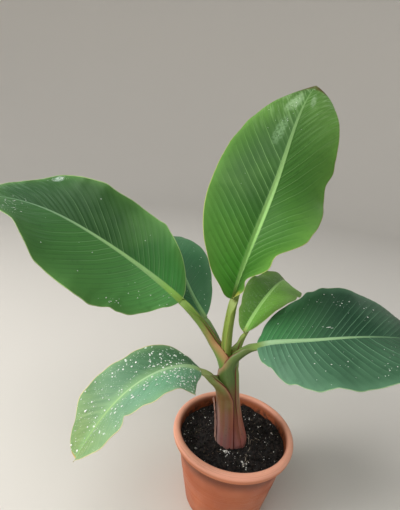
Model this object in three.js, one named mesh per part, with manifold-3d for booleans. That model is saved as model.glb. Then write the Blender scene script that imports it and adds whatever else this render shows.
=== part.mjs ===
import * as THREE from 'three';
import { mergeVertices } from 'three/addons/utils/BufferGeometryUtils.js';
import Module from 'manifold-3d';

// Young banana plant in a round plastic pot.
// Millimetres and degrees, +Z up, origin at the centre of the pot's flat underside.
// Headings are measured from +X towards +Y, rises from the level.

const wasm = await Module();
wasm.setup();

// Pot
const POT_HEIGHT = 185;
const POT_RIM_RADIUS = 130;
const POT_RIM_BAND = 21;
const POT_RIM_MOUTH = 115;
const POT_NECK_RADIUS = 118.5;
const POT_BASE_RADIUS = 88;
const POT_INNER_BASE_RADIUS = 84.5;
const POT_INNER_NECK_RADIUS = 114;
const POT_INNER_NECK_Z = 162;
const POT_FLOOR = 4;
const POT_FOOT_ROUND = 3;
const ROUND_SIDES = 60;

// Potting mix
const SOIL_LEVEL = 160;
const SOIL_MOUND = 5;

// Pseudostem, the trunk of rolled leaf bases: it flares at the foot and leans to the left
const STEM_FOOT_Z = 122;
const STEM_TOP_Z = 350;
const STEM_SOIL_Z = 165;
const STEM_BEND_Z = 265;
const STEM_SOIL_X = -3.6;
const STEM_Y = -6;
const STEM_LEAN_LOW = 0.19;
const STEM_LEAN_HIGH = 0.13;
const STEM_DEPTH_RATIO = 0.94;
const STEM_SIDES = 32;
const STEM_STEP = 9;
const STEM_END_CROWDING = 0.09;
// Half the trunk's width at each height
const STEM_HALF_WIDTHS = [
  [122, 12],
  [130, 25],
  [145, 33],
  [165, 35],
  [185, 32],
  [215, 27.5],
  [265, 25],
  [322, 24],
  [338, 20],
  [346, 13],
  [350, 5],
];

// Clearance between neighbouring pieces
const CLEARANCE = 0.3;
const CUT_MARGIN = 0.35;

// Leaves
const LEAF_THICKNESS_RATIO = 0.0105;
const STEEPEST_FOLD_COSINE = 0.5;
const PETIOLE_ROOT_LENGTH = 34;
const PETIOLE_ROOT_TAPER = 0.5;
const PETIOLE_SIDES = 14;
const PETIOLE_STEP = 11;
const PETIOLE_DEPTH_RATIO = 0.8;
const PETIOLE_FLAT_RATIO = 0.55;
const PETIOLE_GROOVE_RATIO = 0.45;
const PETIOLE_GROOVE_WIDTH = 0.4;
const PATH_STEPS = 80;
const BLADE_ROWS = 22;
const BLADE_COLUMNS = [-1, -0.64, -0.3, 0, 0, 0, 0.3, 0.64, 1];
const RIB_COLUMNS = [3, 4, 5];
const RIB_WIDEST_SHARE = 0.15;
const RIB_TIP_SHARE = 0.2;
const BLADE_TIP_HALF_WIDTH = 2;
const CURL_SAMPLES = 12;

// Each leaf: where its petiole's line starts inside the trunk, the petiole's and blade's lengths,
// the petiole's half width at its root and at the blade, the blade's half width on the left and
// the right of its midrib, where along the blade it is widest and how full it is below and above
// that place. Then come angles at equally spaced places: the line's rise and heading from root to
// tip, and along the blade its roll, the upward fold of each half and that half's downward curl.
// A wave lifts each margin: its height, its number along the blade and its phase in turns.
const LEAVES = [
  {
    name: 'upright',
    colour: 0x6f9a45,
    petioleColour: 0x8da75a,
    foot: [-39, -1, 366],
    petiole: 122,
    blade: 512,
    petioleHalf: [11.5, 8.5],
    halfWidth: [133, 116],
    widest: 0.6,
    fullness: [0.45, 0.54],
    rise: [102, 72, 55, 59, 32],
    heading: [53, 56, 64, 58],
    roll: [5, 23, 4],
    fold: [70, -2, -10],
    curl: [-6, 24, 23],
    wave: [[8, 2.7, 0.7], [10, 1.9, 0.88]],
  },
  {
    name: 'left',
    colour: 0x47703a,
    petioleColour: 0x83a05a,
    foot: [-38, -4, 326],
    petiole: 174,
    blade: 445,
    petioleHalf: [13, 7.5],
    halfWidth: [131, 116],
    widest: 0.46,
    fullness: [0.64, 0.51],
    rise: [69, 37, 29, 23, -1],
    heading: [158, 168, 179, 194],
    roll: [-52, -39, -6],
    fold: [10, 12, 13],
    curl: [21, 9, 4],
    wave: [[8, 2.3, 0.4], [11, 2.1, 0.88]],
  },
  {
    name: 'right',
    colour: 0x32583c,
    petioleColour: 0x6f9050,
    foot: [-32, -13, 321],
    petiole: 102,
    blade: 408,
    petioleHalf: [12, 8],
    halfWidth: [118, 117],
    widest: 0.39,
    fullness: [0.54, 0.54],
    rise: [89, 22, 12, -5, -24],
    heading: [-21, -8, 8, 24],
    roll: [25, 19, -9],
    fold: [8, 12, 4],
    curl: [22, 9, 14],
    wave: [[3, 2.4, 0.32], [7, 3.4, 0.17]],
  },
  {
    name: 'low_front',
    colour: 0x6f9068,
    petioleColour: 0x86a05f,
    foot: [-26, -8, 253],
    petiole: 120,
    blade: 309,
    petioleHalf: [14, 7],
    halfWidth: [74, 70],
    widest: 0.48,
    fullness: [0.46, 0.54],
    rise: [65, 43, -6, -46, -63],
    heading: [210, 215, 213, 212],
    roll: [-24, -2, 7],
    fold: [-6, 16, 29],
    curl: [26, 6, -3],
    wave: [[21, 1.2, 0.78], [5, 1.7, 0.97]],
  },
  {
    name: 'back_left',
    colour: 0x38593e,
    petioleColour: 0x6d8a4e,
    foot: [-36, 10, 321],
    petiole: 120,
    blade: 319,
    petioleHalf: [9, 6],
    halfWidth: [74, 71],
    widest: 0.53,
    fullness: [0.76, 0.55],
    rise: [69, 26, 29, 16, -4],
    heading: [132, 124, 115, 109],
    roll: [-9, -9, -7],
    fold: [19, 14, 7],
    curl: [11, 7, 11],
    wave: [[0, 2.2, 0], [3, 2.1, 0.02]],
  },
  {
    name: 'back_right',
    colour: 0x648a48,
    petioleColour: 0x86a556,
    foot: [-25, 3, 322],
    petiole: 88,
    blade: 263,
    petioleHalf: [8.5, 5.5],
    halfWidth: [57, 63],
    widest: 0.49,
    fullness: [0.47, 0.55],
    rise: [80, 53, 21, -2, -21],
    heading: [48, 55, 63, 71],
    roll: [-35, 1, 32],
    fold: [17, 8, 5],
    curl: [13, 15, 13],
    wave: [[8, 2, 0.26], [3, 2.2, 0.61]],
  },
];

const radians = THREE.MathUtils.degToRad;
const lerp = THREE.MathUtils.lerp;

// Smooth curve through equally spaced values, t from 0 to 1
function through(values, t) {
  const last = values.length - 1;
  const place = THREE.MathUtils.clamp(t, 0, 1) * last;
  const i = Math.min(Math.floor(place), last - 1);
  const f = place - i;
  const b = values[i];
  const c = values[i + 1];
  const a = i > 0 ? values[i - 1] : 2 * b - c;
  const d = i + 2 <= last ? values[i + 2] : 2 * c - b;
  return b + 0.5 * f * (c - a + f * (2 * a - 5 * b + 4 * c - d + f * (3 * (b - c) + d - a)));
}

// Straight-line reading of a list of [place, value] pairs
function readTable(table, place) {
  if (place <= table[0][0]) {
    return table[0][1];
  }
  for (let i = 1; i < table.length; i++) {
    const [upper, value] = table[i];
    if (place <= upper) {
      const [lower, before] = table[i - 1];
      return lerp(before, value, (place - lower) / (upper - lower));
    }
  }
  return table[table.length - 1][1];
}

// Closed body through rings of equally many points, with a fan over each end
function loft(rings) {
  const count = rings[0].length;
  const positions = [];
  const indices = [];
  for (const ring of rings) {
    for (const point of ring) {
      positions.push(point.x, point.y, point.z);
    }
  }
  for (let r = 0; r + 1 < rings.length; r++) {
    for (let i = 0; i < count; i++) {
      const a = r * count + i;
      const b = r * count + ((i + 1) % count);
      indices.push(a, b, b + count, a, b + count, a + count);
    }
  }
  const ends = [[0, true], [rings.length - 1, false]];
  for (const [r, first] of ends) {
    const centre = new THREE.Vector3();
    for (const point of rings[r]) {
      centre.addScaledVector(point, 1 / count);
    }
    const middle = positions.length / 3;
    positions.push(centre.x, centre.y, centre.z);
    for (let i = 0; i < count; i++) {
      const a = r * count + i;
      const b = r * count + ((i + 1) % count);
      if (first) {
        indices.push(middle, b, a);
      } else {
        indices.push(middle, a, b);
      }
    }
  }
  const geometry = new THREE.BufferGeometry();
  geometry.setAttribute('position', new THREE.Float32BufferAttribute(positions, 3));
  geometry.setIndex(indices);
  return geometry;
}

// Turned body from an outline of [radius, height] that starts and ends on the axis
function turn(outline, sides) {
  const points = outline.map(([radius, height]) => new THREE.Vector2(radius, height));
  const geometry = new THREE.LatheGeometry(points, sides);
  geometry.rotateX(Math.PI / 2);
  geometry.deleteAttribute('normal');
  geometry.deleteAttribute('uv');
  return geometry;
}

function toSolid(geometry) {
  const merged = mergeVertices(geometry, 1e-4);
  const index = merged.index.array;
  const triangles = [];
  for (let i = 0; i < index.length; i += 3) {
    const [a, b, c] = [index[i], index[i + 1], index[i + 2]];
    if (a !== b && b !== c && c !== a) {
      triangles.push(a, b, c);
    }
  }
  return new wasm.Manifold(new wasm.Mesh({
    numProp: 3,
    vertProperties: merged.attributes.position.array,
    triVerts: new Uint32Array(triangles),
  }));
}

function toGeometry(solid) {
  const mesh = solid.getMesh();
  const geometry = new THREE.BufferGeometry();
  geometry.setAttribute('position', new THREE.BufferAttribute(new Float32Array(mesh.vertProperties), 3));
  geometry.setIndex(new THREE.BufferAttribute(new Uint32Array(mesh.triVerts), 1));
  return geometry;
}

// The largest body of a solid that a cut has left in several
function largest(solid) {
  let best = null;
  for (const body of solid.decompose()) {
    if (best === null || body.volume() > best.volume()) {
      best = body;
    }
  }
  return best;
}

// Radii of the pot's wall below the rim band
function potOuterRadius(z) {
  return lerp(POT_BASE_RADIUS, POT_NECK_RADIUS, z / (POT_HEIGHT - POT_RIM_BAND));
}

function potInnerRadius(z) {
  const share = (z - POT_FLOOR) / (POT_INNER_NECK_Z - POT_FLOOR);
  return lerp(POT_INNER_BASE_RADIUS, POT_INNER_NECK_RADIUS, share);
}

function makePot() {
  const bandFoot = POT_HEIGHT - POT_RIM_BAND;
  const outline = [
    [0, 0],
    [POT_BASE_RADIUS - POT_FOOT_ROUND, 0],
    [POT_BASE_RADIUS, POT_FOOT_ROUND],
    [potOuterRadius(bandFoot - 6), bandFoot - 6],
    [POT_NECK_RADIUS + 2, bandFoot - 2],
    [POT_RIM_RADIUS - 4, bandFoot],
    [POT_RIM_RADIUS - 1.5, bandFoot + 1.5],
    [POT_RIM_RADIUS, POT_HEIGHT - 9],
    [POT_RIM_RADIUS - 1.2, POT_HEIGHT - 3.6],
    [POT_RIM_RADIUS - 4.5, POT_HEIGHT - 0.6],
    [POT_RIM_RADIUS - 8, POT_HEIGHT],
    [POT_RIM_MOUTH + 3.5, POT_HEIGHT - 2.6],
    [POT_RIM_MOUTH, POT_HEIGHT - 8],
    [POT_INNER_NECK_RADIUS, POT_INNER_NECK_Z],
    [potInnerRadius(POT_FLOOR), POT_FLOOR],
    [0, POT_FLOOR],
  ];
  return turn(outline, ROUND_SIDES);
}

function stemAxis(z) {
  const low = Math.min(z, STEM_BEND_Z) - STEM_SOIL_Z;
  const high = Math.max(z - STEM_BEND_Z, 0);
  const x = STEM_SOIL_X - STEM_LEAN_LOW * low - STEM_LEAN_HIGH * high;
  return new THREE.Vector3(x, STEM_Y, z);
}

function makeStem(extra) {
  const rings = [];
  const steps = Math.round((STEM_TOP_Z - STEM_FOOT_Z) / STEM_STEP);
  for (let i = 0; i <= steps; i++) {
    const share = i / steps;
    // Closer rings at the rounded top and foot
    const eased = share - STEM_END_CROWDING * Math.sin(2 * Math.PI * share);
    const z = lerp(STEM_FOOT_Z, STEM_TOP_Z, eased);
    const half = readTable(STEM_HALF_WIDTHS, z) + extra;
    const axis = stemAxis(z);
    axis.z += extra * (2 * share - 1);
    const ring = [];
    for (let k = 0; k < STEM_SIDES; k++) {
      const angle = (2 * Math.PI * k) / STEM_SIDES;
      const x = axis.x + half * Math.cos(angle);
      const y = axis.y + half * STEM_DEPTH_RATIO * Math.sin(angle);
      ring.push(new THREE.Vector3(x, y, axis.z));
    }
    rings.push(ring);
  }
  return loft(rings);
}

function makeSoil(stemRoom) {
  const edgeZ = SOIL_LEVEL - 2;
  const edge = potInnerRadius(edgeZ) - CUT_MARGIN;
  const floor = POT_FLOOR + CLEARANCE;
  const outline = [
    [0, floor],
    [potInnerRadius(floor) - CUT_MARGIN, floor],
    [edge, edgeZ],
    [edge - 6, SOIL_LEVEL],
    [edge * 0.6, SOIL_LEVEL + SOIL_MOUND * 0.5],
    [0, SOIL_LEVEL + SOIL_MOUND],
  ];
  return toGeometry(toSolid(turn(outline, ROUND_SIDES)).subtract(stemRoom));
}

// A leaf's line: its points at equal steps from root to tip
function leafPath(leaf) {
  const total = leaf.petiole + leaf.blade;
  const points = [new THREE.Vector3(...leaf.foot)];
  for (let i = 0; i < PATH_STEPS; i++) {
    const direction = leafFrame(leaf, (total * (i + 0.5)) / PATH_STEPS, 0).tangent;
    points.push(points[i].clone().addScaledVector(direction, total / PATH_STEPS));
  }
  return points;
}

function pathPoint(leaf, path, distance) {
  const total = leaf.petiole + leaf.blade;
  const place = (distance / total) * PATH_STEPS;
  const i = THREE.MathUtils.clamp(Math.floor(place), 0, PATH_STEPS - 1);
  return path[i].clone().lerp(path[i + 1], place - i);
}

// Direction of the line, the blade's left side and its upper side, at a distance from the root
function leafFrame(leaf, distance, roll) {
  const t = distance / (leaf.petiole + leaf.blade);
  const rise = radians(through(leaf.rise, t));
  const heading = radians(through(leaf.heading, t));
  const tangent = new THREE.Vector3(
    Math.cos(rise) * Math.cos(heading),
    Math.cos(rise) * Math.sin(heading),
    Math.sin(rise),
  );
  const level = new THREE.Vector3(-Math.sin(heading), Math.cos(heading), 0);
  const above = new THREE.Vector3().crossVectors(tangent, level);
  const turned = radians(roll);
  const side = level.clone().multiplyScalar(Math.cos(turned)).addScaledVector(above, Math.sin(turned));
  const normal = above.multiplyScalar(Math.cos(turned)).addScaledVector(level, -Math.sin(turned));
  return { tangent, side, normal };
}

// Petiole: a tapering limb with a flat, grooved upper side, its root running into the trunk's core
function petioleSection(leaf, path, distance, extra) {
  const share = THREE.MathUtils.clamp(distance / leaf.petiole, 0, 1);
  const sunk = Math.max(-distance / PETIOLE_ROOT_LENGTH, 0);
  const half = lerp(leaf.petioleHalf[0], leaf.petioleHalf[1], share) * (1 - PETIOLE_ROOT_TAPER * sunk);
  const depth = half * PETIOLE_DEPTH_RATIO;
  const roll = leaf.roll[0] * share * share;
  const { side, normal } = leafFrame(leaf, Math.max(distance, 0), roll);
  const centre = pathPoint(leaf, path, Math.max(distance, 0));
  centre.lerp(stemAxis(leaf.foot[2] - PETIOLE_ROOT_LENGTH), sunk);
  const ring = [];
  for (let k = 0; k < PETIOLE_SIDES; k++) {
    const angle = (2 * Math.PI * k) / PETIOLE_SIDES;
    const across = Math.cos(angle);
    let up = Math.sin(angle);
    if (up > 0) {
      const groove = PETIOLE_GROOVE_RATIO * Math.exp(-((across / PETIOLE_GROOVE_WIDTH) ** 2));
      up = up * PETIOLE_FLAT_RATIO - (extra > 0 ? 0 : groove);
    }
    const point = centre.clone().addScaledVector(side, across * half + extra * Math.cos(angle));
    ring.push(point.addScaledVector(normal, up * depth + extra * Math.sin(angle)));
  }
  return ring;
}

function makePetiole(leaf, extra) {
  const path = leafPath(leaf);
  const rings = [];
  const steps = Math.round((leaf.petiole + PETIOLE_ROOT_LENGTH) / PETIOLE_STEP);
  for (let i = 0; i <= steps; i++) {
    const distance = lerp(-PETIOLE_ROOT_LENGTH, leaf.petiole, i / steps);
    rings.push(petioleSection(leaf, path, distance, extra));
  }
  return loft(rings);
}

// Half width of the blade as a share of its widest place
function bladeFullness(leaf, u) {
  const below = u < leaf.widest;
  const t = below ? 1 - u / leaf.widest : (u - leaf.widest) / (1 - leaf.widest);
  return Math.max(1 - t * t, 0) ** (below ? leaf.fullness[0] : leaf.fullness[1]);
}

// Sideways and upward place of a point on one half of the blade, v from -1 to 1
function bladeOffset(leaf, u, v) {
  const left = v >= 0;
  const share = Math.abs(v);
  const tip = lerp(leaf.petioleHalf[1], BLADE_TIP_HALF_WIDTH, Math.min(u * 4, 1));
  const width = Math.max(bladeFullness(leaf, u) * leaf.halfWidth[left ? 0 : 1], tip);
  const fold = radians(through(leaf.fold, u));
  const curl = radians(through(leaf.curl, u));
  let across = 0;
  let up = 0;
  for (let i = 0; i < CURL_SAMPLES; i++) {
    const angle = fold - (curl * share * (i + 0.5)) / CURL_SAMPLES;
    across += (width * share * Math.cos(angle)) / CURL_SAMPLES;
    up += (width * share * Math.sin(angle)) / CURL_SAMPLES;
  }
  const [height, waves, phase] = leaf.wave[left ? 0 : 1];
  up += height * share * share * Math.sin(2 * Math.PI * (waves * u + phase)) * Math.sqrt(Math.sin(Math.PI * u));
  const slope = Math.max(Math.cos(fold - curl * share), STEEPEST_FOLD_COSINE);
  return { across: left ? across : -across, up, slope, width };
}

// Blade: a closed plate with the midrib standing out below it
function makeBlade(leaf) {
  const path = leafPath(leaf);
  const half = (leaf.blade * LEAF_THICKNESS_RATIO) / 2;
  const rings = [];
  for (let r = 0; r <= BLADE_ROWS; r++) {
    const share = r / BLADE_ROWS;
    // Rows lie closer together at both ends, where the outline turns
    const u = THREE.MathUtils.clamp(0.5 - 0.5 * Math.cos(Math.PI * (share * 0.9 + share ** 3 * 0.1)), 0, 1);
    const distance = leaf.petiole + CLEARANCE + u * (leaf.blade - CLEARANCE);
    const { side, normal } = leafFrame(leaf, distance, through(leaf.roll, u));
    const centre = pathPoint(leaf, path, distance);
    const upper = [];
    const lower = [];
    BLADE_COLUMNS.forEach((column, k) => {
      const ribHalf = lerp(leaf.petioleHalf[1], leaf.petioleHalf[1] * RIB_TIP_SHARE, u);
      const reach = Math.min(ribHalf / bladeOffset(leaf, u, 1).width, RIB_WIDEST_SHARE);
      const v = RIB_COLUMNS.includes(k) ? (k - RIB_COLUMNS[1]) * reach : column;
      const { across, up, slope } = bladeOffset(leaf, u, v);
      const rib = k === RIB_COLUMNS[1] ? ribHalf : 0;
      const base = centre.clone().addScaledVector(side, across);
      upper.push(base.clone().addScaledVector(normal, up + half / slope));
      lower.push(base.clone().addScaledVector(normal, up - half / slope - rib));
    });
    rings.push([...lower, ...upper.reverse()]);
  }
  return loft(rings);
}

function makeMaterial(colour, roughness) {
  return new THREE.MeshStandardMaterial({ color: colour, roughness, metalness: 0 });
}

const group = new THREE.Group();

function place(name, geometry, material) {
  geometry.computeVertexNormals();
  const mesh = new THREE.Mesh(geometry, material);
  mesh.name = name;
  group.add(mesh);
}

place('pot', makePot(), makeMaterial(0xb5624a, 0.55));
place('pseudostem', makeStem(0), makeMaterial(0x8a6a5a, 0.6));
const stemRoom = toSolid(makeStem(CUT_MARGIN));
place('potting_soil', makeSoil(stemRoom), makeMaterial(0x241f1d, 0.95));

// Petioles in order from the innermost: each later one makes room for those before it
let taken = stemRoom;
for (const leaf of LEAVES) {
  const solid = largest(toSolid(makePetiole(leaf, 0)).subtract(taken));
  place(`petiole_${leaf.name}`, toGeometry(solid), makeMaterial(leaf.petioleColour, 0.55));
  taken = taken.add(toSolid(makePetiole(leaf, CUT_MARGIN)));
}

for (const leaf of LEAVES) {
  place(`leaf_${leaf.name}`, makeBlade(leaf), makeMaterial(leaf.colour, 0.5));
}

export default group;
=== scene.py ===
"""Looks for a young banana plant in a round plastic pot.

Every piece is a surface worked out with numpy in the frame of the solids, with +Z up and the
origin at the centre of the pot's flat underside. The formulas are in millimetres. The meshes and
the materials are in metres.
"""

import bpy
import numpy as np
from mathutils import Matrix


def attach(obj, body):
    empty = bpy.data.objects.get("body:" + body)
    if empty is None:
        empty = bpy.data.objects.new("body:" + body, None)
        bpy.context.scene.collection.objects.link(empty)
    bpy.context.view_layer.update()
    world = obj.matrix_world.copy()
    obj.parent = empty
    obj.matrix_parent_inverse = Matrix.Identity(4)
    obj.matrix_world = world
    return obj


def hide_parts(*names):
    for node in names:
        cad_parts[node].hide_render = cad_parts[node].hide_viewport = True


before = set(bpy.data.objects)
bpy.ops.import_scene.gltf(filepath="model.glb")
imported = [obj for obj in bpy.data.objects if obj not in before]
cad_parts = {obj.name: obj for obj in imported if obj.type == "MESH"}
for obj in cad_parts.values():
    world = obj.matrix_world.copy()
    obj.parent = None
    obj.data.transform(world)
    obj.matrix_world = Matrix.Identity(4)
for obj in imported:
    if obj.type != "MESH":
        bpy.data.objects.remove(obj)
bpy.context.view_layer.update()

MM = 0.001

# Pot
POT_HEIGHT = 185.0
POT_RIM_RADIUS = 130.0
POT_RIM_BAND = 21.0
POT_RIM_MOUTH = 115.0
POT_NECK_RADIUS = 118.5
POT_BASE_RADIUS = 88.0
POT_INNER_BASE_RADIUS = 84.5
POT_INNER_NECK_RADIUS = 114.0
POT_INNER_NECK_Z = 162.0
POT_FLOOR = 4.0

# Potting mix
SOIL_LEVEL = 160.0
SOIL_MOUND = 5.0
SOIL_EDGE = 113.0

# Trunk
STEM_SOIL_Z = 165.0
STEM_BEND_Z = 265.0
STEM_SOIL_X = -3.6
STEM_Y = -6.0
STEM_LEAN_LOW = 0.19
STEM_LEAN_HIGH = 0.13
STEM_DEPTH_RATIO = 0.94
# Half the trunk's width at each height
STEM_HALF_WIDTHS = (
    (122, 12), (130, 25), (145, 33), (165, 35), (185, 32), (215, 27.5), (265, 25), (322, 24),
    (338, 22), (350, 18),
)

# Sheaths, the lower parts of the stalks, that wrap round each other and make the trunk
SHEATH_BOTTOM_Z = 146.0
SHEATH_LAYER = 1.3
# Above this height a sheath keeps the radius that the trunk has here
SHEATH_TOP_Z = 338.0
SHEATH_ROWS = 200
SHEATH_COLUMNS = 40
# Wall in the middle of the back and at the margins: round the trunk, and along the petiole
WALL_MIDDLE = (2.2, 2.6)
WALL_MARGIN = (0.7, 1.7)
# How many rows of a sheath the mean of its margin's angle runs over
MARGIN_WINDOW = 9
# How far below the place where a leaf starts to part its centre starts to leave the trunk's axis
CENTRE_EARLY = 15.0
# Where along the petiole its groove starts to open towards the blade, and the angle from the
# petiole's back to each margin where it is open
GROOVE_START = 0.72
GROOVE_MARGIN_OPEN = 97.0
# Height of the groove's bottom over the centre, for the radius: before it opens, and open
GROOVE_BOTTOM = (0.74, 0.1)
# Soft waves of the outer side: share of the radius, how many to one radian, length and seed
SHEATH_WAVES = (0.012, 5, 55, 31)
# How far the petiole runs on inside the blade's rib, how deep it lies there, between which two
# places from the blade's base it sinks, and between which two it grows slimmer by a share
PETIOLE_TENON = 38.0
PETIOLE_SUNK = 1.9
PETIOLE_SINKS = (-14.0, 4.0)
PETIOLE_SLIMS = (-6.0, 2.0)
PETIOLE_SLIMMER = 0.03
# Solid middle of the trunk: its foot, where its round top starts, the height of that, rings below
# and in the top, and layers of sheath round it
CORE_BOTTOM_Z = 130.0
CORE_TOP_Z = 300.0
CORE_CAP = 12.0
CORE_RINGS = (50, 10)
CORE_LAYERS = 6.3
CORE_SIDES = 64

# Blades
PATH_STEPS = 80
CURL_SAMPLES = 12
BLADE_TIP_HALF_WIDTH = 1.2
BLADE_EDGE_THICKNESS = 0.5
# How much the points across the blade crowd at the midrib: 0 for even steps, at most 1
CROWDING = 0.65
# For the midrib's half width: depth of the groove on it at the base and further on, and height of
# the ridge on each side of it
RIB_GROOVE = (0.04, 0.16)
RIB_RIDGE = 0.1
# Share of the pleats that is gone at the margin
PLEAT_FADE = 0.55
# Half width of the blade below which the bumps of its margins shrink
BUMP_ROOM = 40.0
# How far along the midrib the spacing of the side veins takes to settle
VEIN_SETTLING = 80.0
# Ripples of the sheet: height, then their lengths in veins and in millimetres from the midrib
RIPPLE = 1.5
RIPPLE_VEINS = 3.5
RIPPLE_OUT = 55.0
# Ripples of the margin: height and length
MARGIN_RIPPLE = 1.0
MARGIN_RIPPLE_LENGTH = 21.0

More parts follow.
